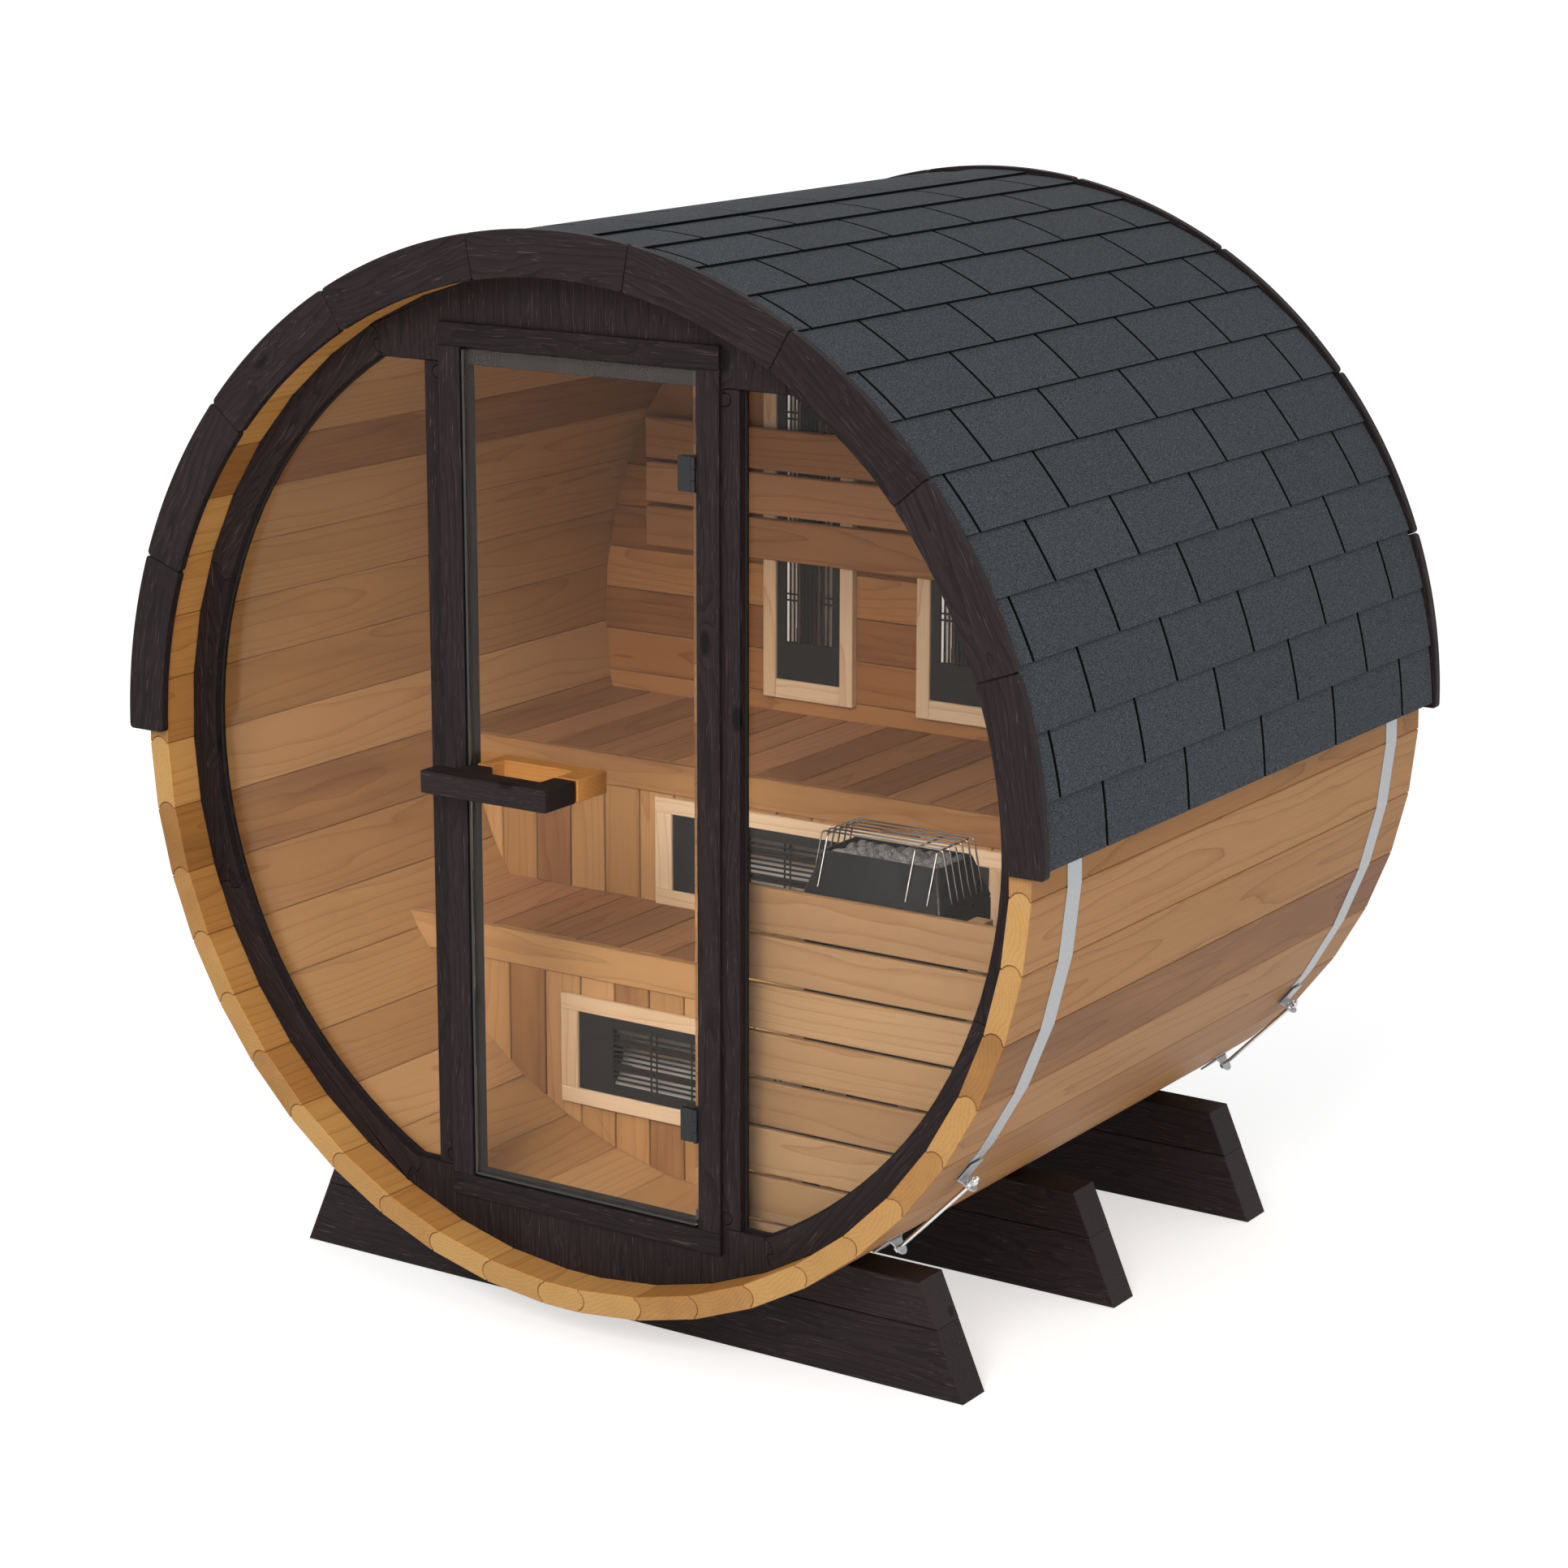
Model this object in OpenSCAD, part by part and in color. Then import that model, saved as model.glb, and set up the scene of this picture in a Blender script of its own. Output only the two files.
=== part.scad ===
// Barrel sauna: a stave barrel on three cradles, with a glazed front gable, a hinged glass
// door, a shingled half-round roof, two benches, radiant heaters and a stone heater.
// The barrel axis runs along Y, the door faces -Y and +Z is up.

/* [Barrel] */
// Outer radius of the barrel, at the stave seams
outer_r = 1000; // [700:1300]
// Length of the staves
barrel_len = 1570; // [1300:2600]
// Thickness of a stave
stave_t = 45.5; // [28:60]
// Width of a stave on the outside
stave_w = 135.6; // [90:180]
// Width of the double-beaded starter stave at the bottom
starter_w = 84; // [60:130]
// Direction of the starter stave, seen from the front
starter_dir = 269.5; // [265:0.1:275]

/* [Gables] */
// How far each gable is set back from the stave ends
gable_recess = 74.5; // [40:140]
// Thickness of a gable
gable_t = 32; // [24:60]

/* [Windows] */
// Distance of a window's straight side from the middle of the gable
window_side = 352; // [330:420]
// Width of the gable rim outside the window's arc
window_rim = 59.5; // [40:120]
// Height of the window's top edge above the barrel axis
window_top = 769; // [500:820]
// Depth of the window's bottom edge below the barrel axis
window_bottom = 795; // [500:820]
// Thickness of the window glass
window_glass_t = 6; // [4:10]
// How far the window glass sits behind the gable's face
window_glass_setback = 19; // [8:20]

/* [Doorway] */
// Width of the doorway
door_opening_w = 528; // [480:600]
// Height of the doorway's head above the barrel axis
door_head = 801; // [700:830]
// Depth of the doorway's sill below the barrel axis
door_foot = 805; // [700:830]
// Width of the casing boards on the jambs
casing_w = 49; // [35:60]
// Height of the casing boards at the head and the sill
casing_h = 43.5; // [30:60]
// Thickness of the casing boards
casing_t = 9.5; // [9:20]
// Height of the stop strip at the head of the doorway
door_stop_h = 35; // [15:50]
// Depth of the stop strip
door_stop_t = 22; // [10:22]

/* [Door] */
// Thickness of the door glass
door_glass_t = 8; // [6:12]
// Gap between the glass and the doorway
door_gap = 6; // [6:9]
// Gap between the glass and the doorway on the hinge side
hinge_gap = 7; // [7:12]
// How far the glass sits behind the casing's face
door_setback = 3; // [2:8]
// Height of a hinge
hinge_h = 64; // [40:90]
// Width of a hinge plate on the glass
hinge_plate_w = 29; // [24:60]
// Thickness of a hinge plate
hinge_plate_t = 5.5; // [3:6]
// Radius of a hinge knuckle
knuckle_r = 4; // [3.5:0.1:4.5]
// Radius of a hinge pin
hinge_pin_r = 1.6; // [1:0.1:2]
// Height of the upper hinge above the barrel axis
upper_hinge_z = 612; // [400:680]
// Depth of the lower hinge below the barrel axis
lower_hinge_z = 604; // [400:680]

/* [Handles] */
// Length of the outer handle's bar
handle_len = 292; // [240:300]
// Height of a handle
handle_h = 43; // [30:60]
// How far a handle stands off the glass
handle_depth = 94; // [70:110]
// Thickness of the outer handle's bar
handle_bar_t = 53; // [30:60]
// Thickness of the inner handle's bar
inner_bar_t = 40; // [30:60]
// Width of a handle's leg at the hinge side
handle_leg_w = 50; // [30:60]
// Width of the finger space in a handle
finger_w = 117; // [90:140]
// How far the inner handle's end stays inside the doorway's edge
inner_handle_inset = 19; // [15:40]

/* [Roof] */
// Thickness of the roof over the bands, shingles included
roof_t = 27; // [20:50]
// Thickness of the fascia boards, along the barrel
fascia_t = 20; // [16:30]
// Outer radius of the fascia beyond the roof
fascia_lip = 6.5; // [2:20]
// How far the fascia reaches inside the staves
fascia_drop = 5; // [2:20]
// Number of boards in one fascia arch
fascia_count = 9; // [5:2:15]
// Width of the joint between two fascia boards
fascia_joint = 1; // [0.5:0.5:4]

/* [Bands] */
// Width of a steel band
band_w = 50; // [20:60]
// Thickness of a steel band
band_t = 1.5; // [1:0.1:3]
// Middle of the front band, from the front stave ends
band_front_y = 147; // [100:147]
// Middle of the rear band, from the rear stave ends
band_rear_y = 133; // [100:140]
// Direction of a tensioner's upper bracket
tension_upper_dir = -38.5; // [-60:-20]
// Direction of a tensioner's lower bracket
tension_lower_dir = -50; // [-80:-40]
// Height of a tensioner's ear above the band
ear_h = 34; // [24:50]
// Radius of the tensioner bolt
tension_bolt_r = 4; // [3:6]

/* [Cradles] */
// Height of the barrel's underside above the ground
ground_gap = 73; // [40:120]
// Thickness of a cradle board, along the barrel
cradle_t = 80; // [50:100]
// Height of the lower cradle board
cradle_low_h = 132; // [90:150]
// Height of the upper cradle boards
cradle_top_h = 87; // [60:110]
// Half the cradle's length at the ground
cradle_half = 776; // [600:900]
// How far the cradle's ends lean in over its height
cradle_lean = 95; // [40:140]
// Middle of the first and last cradle, from the stave ends
cradle_inset = 212; // [205:400]

/* [Benches] */
// Height of the upper bench above the barrel axis (below it, so negative)
upper_seat_z = -175; // [-260:-100]
// Height of the lower bench above the barrel axis
lower_seat_z = -480; // [-560:-400]
// Front of the upper bench, from the front stave ends
upper_front_y = 915; // [850:950]
// Front of the lower bench, from the front stave ends
lower_front_y = 578; // [500:620]
// Thickness of the bench boards
seat_t = 28; // [20:35]
// Thickness of the bench's front rail
rail_t = 20; // [15:30]
// Height of the upper bench's front rail
upper_rail_h = 66; // [50:90]
// Height of the lower bench's front rail
lower_rail_h = 72; // [50:90]
// Thickness of the skirt boards
skirt_t = 16; // [12:20]
// How far the skirt sits behind the rail's face
skirt_setback = 6; // [2:12]

/* [Radiant heaters] */
// Length of a radiant heater's frame
ir_len = 854; // [600:900]
// Width of a radiant heater's frame
ir_w = 232; // [180:235]
// Width of the frame's long members
ir_long_w = 33; // [20:45]
// Width of the frame's short members
ir_short_w = 42; // [20:55]
// Thickness of the frame
ir_frame_t = 12; // [8:20]
// Thickness of the frames on the rear wall
ir_wall_frame_t = 20; // [12:25]
// How far the heater's face sits behind its frame
ir_face_setback = 6; // [3:8]
// Depth of a heater box behind the skirt
ir_box_depth = 40; // [20:60]
// Bottom of the rear-wall frames above the barrel axis
ir_wall_bottom = -141; // [-165:-80]
// Distance between the rear-wall heaters
ir_wall_pitch = 395; // [300:420]
// Height of the lower heater frame's top under the lower bench
ir_lower_drop = 111; // [90:130]

/* [Backrest] */
// Number of backrest slats
back_slats = 3; // [2:4]
// Height of a backrest slat
back_slat_h = 90; // [60:95]
// Pitch of the backrest slats
back_slat_pitch = 99; // [97:110]
// Top of the backrest above the barrel axis
back_top = 457; // [400:480]
// Thickness of a backrest slat
back_slat_t = 20; // [15:25]
// Half the length of a backrest slat
back_half = 812; // [600:815]

/* [Heater fence] */
// Front of the heater fence, from the front stave ends
fence_y = 170; // [150:175]
// Left end of the fence, from the middle
fence_x = 215; // [200:240]
// Top of the fence above the barrel axis
fence_top = -157; // [-200:-120]
// Number of fence slats
fence_slats = 8; // [5:8]
// Height of a fence slat
fence_slat_h = 84; // [60:88]
// Pitch of the fence slats
fence_pitch = 93.3; // [91:100]
// Thickness of a fence slat
fence_slat_t = 15; // [12:18]
// Size of a fence post
fence_post = 34; // [20:40]
// Place of the second fence post, from the middle
fence_post_x = 765; // [740:800]

/* [Stone heater] */
// Middle of the stone heater, from the middle of the barrel
stove_x = 540; // [480:560]
// Middle of the stone heater, from the front stave ends
stove_y = 312; // [300:340]
// Length of the heater's base
stove_len = 300; // [220:320]
// Depth of the heater's base
stove_depth = 180; // [150:190]
// Length of the heater's mouth
stove_mouth_len = 250; // [200:260]
// Depth of the heater's mouth
stove_mouth_depth = 124; // [100:140]
// Height of the heater's mouth above the barrel axis
stove_top = -92; // [-140:-80]
// Height of the sloping rim
stove_rim_h = 78; // [50:90]
// Height of the heater's straight body
stove_body_h = 330; // [250:380]
// Radius of a guard wire
guard_r = 2.4; // [2:0.1:3]
// Height of the guard above the heater's mouth
guard_h = 34; // [25:45]
// Number of guard wires
guard_wires = 7; // [5:9]

/* [Hidden] */

round_fn = 180;
rod_fn = 8;
far = 3000;

// Barrel: seam angles, counter-clockwise from the starter stave's right edge
inner_r = outer_r - stave_t;
pitch = 2 * asin(stave_w / 2 / outer_r);
starter_half = asin(starter_w / 2 / outer_r);
side_count = floor((180 - starter_half) / pitch - 0.35);
right_seams = [for (k = [0:side_count]) starter_dir + starter_half + k * pitch];
left_seams = [for (k = [side_count:-1:0]) starter_dir + 360 - starter_half - k * pitch];
seams = concat(right_seams, [starter_dir + 180], left_seams);
seam_count = len(seams);
floor_side = 3;
wall_group = round((side_count - floor_side) / 3);
crown_seam = side_count + 1;
function seam(i) = seams[i % seam_count] + (i >= seam_count ? 360 : 0);
function rim(r, a) = [r * cos(a), r * sin(a)];
function rim_points(r) = [for (a = seams) rim(r, a)];

// Gables and door
gable_y = gable_recess;
gable_back_y = gable_y + gable_t;
rear_gable_y = barrel_len - gable_recess - gable_t;
casing_y = gable_y - casing_t;
door_half = door_opening_w / 2;
window_r = inner_r - window_rim;
glass_y = casing_y + door_setback;
glass_back_y = glass_y + door_glass_t;
glass_left = -door_half + door_gap;
glass_right = door_half - hinge_gap;
hinge_x = door_half - knuckle_r;
hinge_y = glass_y - hinge_plate_t;
hinge_leaf_t = 2;
hinge_zs = [upper_hinge_z, -lower_hinge_z];
knuckle_h = hinge_h / 3;
knuckle_play = 0.4;
pin_play = 0.3;
knuckle_gap = 1;
plate_right = hinge_x - knuckle_r - knuckle_gap;
plate_left = plate_right - hinge_plate_w;
clamp_bolt_r = 4;
handle_right = -10;
handle_left = handle_right - handle_len;
handle_top = 15;
inner_left = -door_half + inner_handle_inset;
finger_right = handle_right - handle_leg_w;
finger_left = finger_right - finger_w;
outer_leg_left = -door_half + 2 * door_gap;

// Roof, bands and cradles
band_r = outer_r + band_t;
roof_r = band_r + roof_t;
fascia_r = roof_r + fascia_lip;
fascia_inner_r = inner_r - fascia_drop;
fascia_step = 180 / fascia_count;
band_mids = [band_front_y, barrel_len - band_rear_y];
ground_z = -outer_r - ground_gap;
cradle_h = cradle_low_h + cradle_top_h;
cradle_mids = [cradle_inset, barrel_len / 2, barrel_len - cradle_inset];

// Benches
upper_skirt_y = upper_front_y + skirt_setback;
lower_skirt_y = lower_front_y + skirt_setback;
upper_rail_z = upper_seat_z - upper_rail_h;
lower_rail_z = lower_seat_z - lower_rail_h;
ir_face_len = ir_len - 2 * ir_short_w;
ir_face_w = ir_w - 2 * ir_long_w;
ir_upper_mid = lower_seat_z + ir_w / 2;
ir_lower_mid = lower_seat_z - ir_lower_drop - ir_w / 2;

// Where the part's own origin lies: under the middle of its box, on the ground
front_most = glass_y - handle_depth;
back_most = barrel_len + fascia_t;
mid_y = (min(front_most, -fascia_t) + back_most) / 2;

module placed() {
    translate([0, -mid_y, -ground_z]) children();
}

// Extrudes a profile drawn in X and Z from y0 to y1
module along_y(y0, y1) {
    translate([0, y1, 0]) rotate([90, 0, 0]) linear_extrude(height = y1 - y0) children();
}

module box(x0, x1, y0, y1, z0, z1) {
    translate([x0, y0, z0]) cube([x1 - x0, y1 - y0, z1 - z0]);
}

// Turns +X to the given direction around the barrel, and +Z along its rim
module at_rim(dir, y) {
    translate([0, y, 0]) rotate([0, -dir, 0]) children();
}

module rod(p, q, r) {
    d = q - p;
    span = norm(d);
    translate(p) rotate([0, acos(d[2] / span), atan2(d[1], d[0])])
        cylinder(r = r, h = span, $fn = rod_fn);
}

module wedge(a0, a1) {
    polygon([[0, 0], rim(far, a0), rim(far, (a0 + a1) / 2), rim(far, a1)]);
}

// Staves from one seam to another, as one bent panel
module staves(i0, i1) {
    outer = [for (i = [i0:i1]) rim(outer_r, seam(i))];
    inner = [for (i = [i1:-1:i0]) rim(inner_r, seam(i))];
    color("#b98a58") placed() along_y(0, barrel_len) polygon(concat(outer, inner));
}

module floor_staves() { staves(seam_count - 1 - floor_side, seam_count + floor_side); }
module wall_right_lower() { staves(floor_side, floor_side + wall_group); }
module wall_right_middle() { staves(floor_side + wall_group, floor_side + 2 * wall_group); }
module wall_right_upper() { staves(floor_side + 2 * wall_group, crown_seam); }
module wall_left_upper() { staves(crown_seam, seam_count - 1 - floor_side - 2 * wall_group); }
module wall_left_middle() {
    staves(seam_count - 1 - floor_side - 2 * wall_group, seam_count - 1 - floor_side - wall_group);
}
module wall_left_lower() {
    staves(seam_count - 1 - floor_side - wall_group, seam_count - 1 - floor_side);
}

// The inside of the barrel between two planes
module inside(y0, y1) {
    along_y(y0, y1) polygon(rim_points(inner_r));
}

module rear_gable() {
    color("#4a3a34") placed() inside(rear_gable_y, rear_gable_y + gable_t);
}

// Outline of a window: an arc outside, straight at the door side, the top and the bottom
module window_outline(side) {
    intersection() {
        circle(r = window_r, $fn = round_fn);
        translate([side > 0 ? window_side : -window_side - far, -window_bottom])
            square([far, window_bottom + window_top]);
    }
}

module gable_side(side) {
    color("#332a29") placed() difference() {
        intersection() {
            inside(gable_y, gable_back_y);
            box(side > 0 ? door_half : -far, side > 0 ? far : -door_half, 0, far, -far, far);
        }
        along_y(gable_y - 1, gable_back_y + 1) window_outline(side);
    }
}

module gable_left() { gable_side(-1); }
module gable_right() { gable_side(1); }

module gable_head() {
    color("#332a29") placed() intersection() {
        inside(gable_y, gable_back_y);
        box(-door_half, door_half, 0, far, door_head, far);
    }
}

module gable_foot() {
    color("#332a29") placed() intersection() {
        inside(gable_y, gable_back_y);
        box(-door_half, door_half, 0, far, -far, -door_foot);
    }
}

module window_pane(side) {
    y0 = gable_y + window_glass_setback;
    color("#a08870", 0.4) placed() along_y(y0, y0 + window_glass_t) window_outline(side);
}

module window_left() { window_pane(-1); }
module window_right() { window_pane(1); }

module door_casing_jambs() {
    color("#332a29") placed() for (x = [-door_half - casing_w, door_half])
        box(x, x + casing_w, casing_y, gable_y, -door_foot, door_head);
}

module door_casing_rails() {
    half = door_half + casing_w;
    color("#332a29") placed() {
        box(-half, half, casing_y, gable_y, door_head, door_head + casing_h);
        box(-half, half, casing_y, gable_y, -door_foot - casing_h, -door_foot);
    }
}

module door_stop() {
    color("#332a29") placed() box(-door_half, door_half, gable_back_y - door_stop_t,
        gable_back_y, door_head - door_stop_h, door_head);
}

// A knuckle around the hinge axis, bored for the pin
module knuckle(z0, h, bore_r) {
    translate([hinge_x, hinge_y, z0]) difference() {
        cylinder(r = knuckle_r, h = h, $fn = 48);
        translate([0, 0, -1]) cylinder(r = bore_r, h = h + 2, $fn = 32);
    }
}

// Fixed half of the hinges: a leaf on the jamb, two knuckles and the pin
module hinge_leaves() {
    leaf_y = hinge_y + knuckle_r + knuckle_play;
    color("#3a3c3e") placed() for (z = hinge_zs) {
        for (end = [-hinge_h / 2, hinge_h / 2 - knuckle_h]) {
            knuckle(z + end, knuckle_h, hinge_pin_r - 0.2);
            box(door_half - hinge_leaf_t, door_half, hinge_y, leaf_y + 1, z + end,
                z + end + knuckle_h);
        }
        box(door_half - hinge_leaf_t, door_half, leaf_y, gable_back_y, z - hinge_h / 2,
            z + hinge_h / 2);
        translate([hinge_x, hinge_y, z - hinge_h / 2])
            cylinder(r = hinge_pin_r, h = hinge_h, $fn = 32);
    }
}

module hinge_bolts(z, r) {
    for (dz = [-hinge_h / 4, hinge_h / 4])
        translate([(plate_left + plate_right) / 2, glass_back_y, z + dz]) rotate([90, 0, 0])
            cylinder(r = r, h = door_glass_t, $fn = 32);
}

module door_glass() {
    color("#a08870", 0.4) placed() difference() {
        box(glass_left, glass_right, glass_y, glass_back_y, -door_foot + door_gap,
            door_head - door_gap);
        for (z = hinge_zs) hinge_bolts(z, clamp_bolt_r);
    }
}

// Moving half of the hinges: clamp plates on both faces of the glass and one knuckle
module door_hinges() {
    mid_h = knuckle_h - 2 * knuckle_play;
    bore_r = hinge_pin_r + pin_play;
    color("#3a3c3e") placed() for (z = hinge_zs) {
        box(plate_left, plate_right, hinge_y, glass_y, z - hinge_h / 2, z + hinge_h / 2);
        box(plate_left, plate_right, glass_back_y, glass_back_y + hinge_plate_t,
            z - hinge_h / 2, z + hinge_h / 2);
        hinge_bolts(z, clamp_bolt_r);
        knuckle(z - mid_h / 2, mid_h, bore_r);
        box(plate_right - 1, hinge_x - bore_r - 0.3, hinge_y, hinge_y + knuckle_r * 0.8,
            z - mid_h / 2, z + mid_h / 2);
    }
}

// Outer handle: a long bar over the jamb, with two legs to the glass
module door_handle_outer() {
    bar_front = glass_y - handle_depth;
    bar_back = bar_front + handle_bar_t;
    color("#241d1d") placed() translate([0, 0, handle_top - handle_h])
        linear_extrude(height = handle_h) polygon([[handle_left, bar_front],
            [handle_right, bar_front], [handle_right, glass_y], [finger_right, glass_y],
            [finger_right, bar_back], [finger_left, bar_back],
            [finger_left - handle_leg_w / 2, glass_y], [outer_leg_left, glass_y],
            [outer_leg_left, bar_back], [handle_left, bar_back]]);
}

module door_handle_inner() {
    bar_back = glass_back_y + handle_depth;
    bar_front = bar_back - inner_bar_t;
    leg_right = inner_left + handle_leg_w / 2;
    color("#c9a063") placed() translate([0, 0, handle_top - handle_h])
        linear_extrude(height = handle_h) polygon([[inner_left, glass_back_y],
            [leg_right, glass_back_y], [leg_right, bar_front], [finger_right, bar_front],
            [finger_right, glass_back_y], [handle_right, glass_back_y],
            [handle_right, bar_back], [inner_left, bar_back]]);
}

// One quarter of the roof, resting on the steel bands
module roof_part(a0, a1) {
    color("#43464b") placed() intersection() {
        along_y(0, barrel_len) wedge(a0, a1);
        difference() {
            along_y(0, barrel_len) circle(r = roof_r, $fn = round_fn);
            along_y(-1, barrel_len + 1) polygon(rim_points(band_r));
        }
    }
}

module roof_right_eave() { roof_part(0, 45); }
module roof_right_crown() { roof_part(45, 90); }
module roof_left_crown() { roof_part(90, 135); }
module roof_left_eave() { roof_part(135, 180); }

// An arch of boards over the stave ends, each board a little short of its neighbour
module fascia(y0) {
    half_joint = fascia_joint / 2 / outer_r * 180 / PI;
    color("#332a29") placed() for (k = [0:fascia_count - 1]) intersection() {
        along_y(y0, y0 + fascia_t)
            wedge(k * fascia_step + half_joint, (k + 1) * fascia_step - half_joint);
        difference() {
            along_y(y0, y0 + fascia_t) circle(r = fascia_r, $fn = round_fn);
            along_y(y0 - 1, y0 + fascia_t + 1) circle(r = fascia_inner_r, $fn = round_fn);
        }
    }
}

module front_fascia() { fascia(-fascia_t); }
module rear_fascia() { fascia(barrel_len); }

// Steel bands round the barrel, open between the two brackets of their tensioner
module steel_bands() {
    color("#9a9c9e") placed() for (y = band_mids) difference() {
        along_y(y - band_w / 2, y + band_w / 2) polygon(rim_points(band_r));
        along_y(y - band_w, y + band_w) polygon(rim_points(outer_r));
        along_y(y - band_w, y + band_w) wedge(tension_lower_dir, tension_upper_dir);
    }
}

// A bracket on the band's end: a foot along the band and a rounded ear across it
module tension_bracket(dir, y, side) {
    foot_l = 46;
    plate_t = 3;
    bolt_h = ear_h * 0.55;
    at_rim(dir, y) {
        translate([band_r - 4, -band_w / 2, side > 0 ? 0 : -foot_l])
            cube([4 + plate_t, band_w, foot_l]);
        translate([band_r - 4, -band_w / 2, side > 0 ? 0 : -plate_t])
            cube([4 + ear_h * 0.6, band_w, plate_t]);
        translate([band_r + bolt_h, 0, side > 0 ? 0 : -plate_t])
            cylinder(r = ear_h * 0.45, h = plate_t, $fn = 40);
    }
}

// Two brackets drawn together by a long bolt with a nut at each end
module tensioner(y) {
    mid = (tension_upper_dir + tension_lower_dir) / 2;
    half = band_r * sin((tension_upper_dir - tension_lower_dir) / 2);
    bolt_r0 = band_r * cos((tension_upper_dir - tension_lower_dir) / 2) + ear_h * 0.55;
    difference() {
        union() {
            tension_bracket(tension_upper_dir, y, 1);
            tension_bracket(tension_lower_dir, y, -1);
            at_rim(mid, y) translate([bolt_r0, 0, -half - 16]) {
                cylinder(r = tension_bolt_r, h = 2 * half + 42, $fn = 24);
                translate([0, 0, 4]) cylinder(r = 8, h = 7, $fn = 6);
                translate([0, 0, 2 * half + 20]) cylinder(r = 8, h = 15, $fn = 6);
            }
        }
        along_y(y - band_w, y + band_w) polygon(rim_points(band_r));
    }
}

module band_tensioners() {
    color("#a8aaab") placed() for (y = band_mids) tensioner(y);
}

// Cradle outline with leaning ends, between two heights over the ground
module cradle_slice(h0, h1) {
    slope = cradle_lean / cradle_h;
    polygon([[-cradle_half + slope * h0, ground_z + h0], [cradle_half - slope * h0, ground_z + h0],
        [cradle_half - slope * h1, ground_z + h1], [-cradle_half + slope * h1, ground_z + h1]]);
}

module cradle_boards(h0, h1) {
    color("#302726") placed() for (y = cradle_mids) difference() {
        along_y(y - cradle_t / 2, y + cradle_t / 2) cradle_slice(h0, h1);
        along_y(y - cradle_t, y + cradle_t) polygon(rim_points(outer_r));
    }
}

module cradle_lower_boards() { cradle_boards(0, cradle_low_h); }
module cradle_upper_boards() { cradle_boards(cradle_low_h, cradle_h); }

// A slab across the barrel, cut to the staves at its ends
module cross_slab(y0, y1, z0, z1) {
    intersection() {
        inside(y0, y1);
        box(-far, far, y0, y1, z0, z1);
    }
}

module upper_bench_seat() {
    color("#a87c50") placed() cross_slab(upper_front_y + rail_t, rear_gable_y,
        upper_seat_z - seat_t, upper_seat_z);
}

module upper_bench_rail() {
    color("#b3875a") placed() cross_slab(upper_front_y, upper_front_y + rail_t,
        upper_rail_z, upper_seat_z);
}

module upper_bench_skirt() {
    color("#a87c50") placed() difference() {
        cross_slab(upper_skirt_y, upper_skirt_y + skirt_t, lower_seat_z, upper_rail_z);
        ir_box(upper_skirt_y, ir_upper_mid, 0);
    }
}

module lower_bench_seat() {
    color("#a87c50") placed() cross_slab(lower_front_y + rail_t, upper_skirt_y + skirt_t,
        lower_seat_z - seat_t, lower_seat_z);
}

module lower_bench_rail() {
    color("#b3875a") placed() cross_slab(lower_front_y, lower_front_y + rail_t,
        lower_rail_z, lower_seat_z);
}

module lower_bench_skirt() {
    color("#a87c50") placed() difference() {
        cross_slab(lower_skirt_y, lower_skirt_y + skirt_t, -far, lower_rail_z);
        ir_box(lower_skirt_y, ir_lower_mid, 0);
    }
}

// The box of a radiant heater lying in a skirt; it starts behind the frame's face
module ir_box(skirt_y, mid_z, front) {
    box(-ir_face_len / 2, ir_face_len / 2, skirt_y - front, skirt_y + ir_box_depth,
        mid_z - ir_face_w / 2, mid_z + ir_face_w / 2);
}

// A flat frame; its members are wider at the ends than along the sides
module frame_outline(w, h, side_w, end_w) {
    difference() {
        square([w, h], center = true);
        square([w - 2 * side_w, h - 2 * end_w], center = true);
    }
}

module ir_heater_frames() {
    wall_mid = ir_wall_bottom + ir_len / 2;
    color("#c9a77e") placed() {
        along_y(upper_skirt_y - ir_frame_t, upper_skirt_y) translate([0, ir_upper_mid])
            frame_outline(ir_len, ir_w, ir_short_w, ir_long_w);
        along_y(lower_skirt_y - ir_frame_t, lower_skirt_y) translate([0, ir_lower_mid])
            frame_outline(ir_len, ir_w, ir_short_w, ir_long_w);
        for (x = [-ir_wall_pitch, 0, ir_wall_pitch])
            along_y(rear_gable_y - ir_wall_frame_t, rear_gable_y) translate([x, wall_mid])
                frame_outline(ir_w, ir_len, ir_long_w, ir_short_w);
    }
}

module ir_heater_panels() {
    wall_mid = ir_wall_bottom + ir_len / 2;
    color("#2a2b2c") placed() {
        ir_box(upper_skirt_y, ir_upper_mid, ir_frame_t - ir_face_setback);
        ir_box(lower_skirt_y, ir_lower_mid, ir_frame_t - ir_face_setback);
        for (x = [-ir_wall_pitch, 0, ir_wall_pitch])
            box(x - ir_face_w / 2, x + ir_face_w / 2,
                rear_gable_y - ir_wall_frame_t + ir_face_setback, rear_gable_y,
                wall_mid - ir_face_len / 2, wall_mid + ir_face_len / 2);
    }
}

module backrest_slats() {
    y1 = rear_gable_y - ir_wall_frame_t;
    color("#a87c50") placed() for (k = [0:back_slats - 1]) {
        z1 = back_top - k * back_slat_pitch;
        box(-back_half, back_half, y1 - back_slat_t, y1, z1 - back_slat_h, z1);
    }
}

// Slats across the barrel's right side on two posts, cut to the staves
module heater_fence() {
    post_y = fence_y + fence_slat_t;
    color("#c09160") placed() intersection() {
        inside(0, barrel_len);
        union() {
            for (k = [0:fence_slats - 1]) {
                z1 = fence_top - k * fence_pitch;
                box(fence_x, far, fence_y, post_y, z1 - fence_slat_h, z1);
            }
            for (x = [fence_x, fence_post_x])
                box(x, x + fence_post, post_y, post_y + fence_post, -far, fence_top);
        }
    }
}

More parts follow.
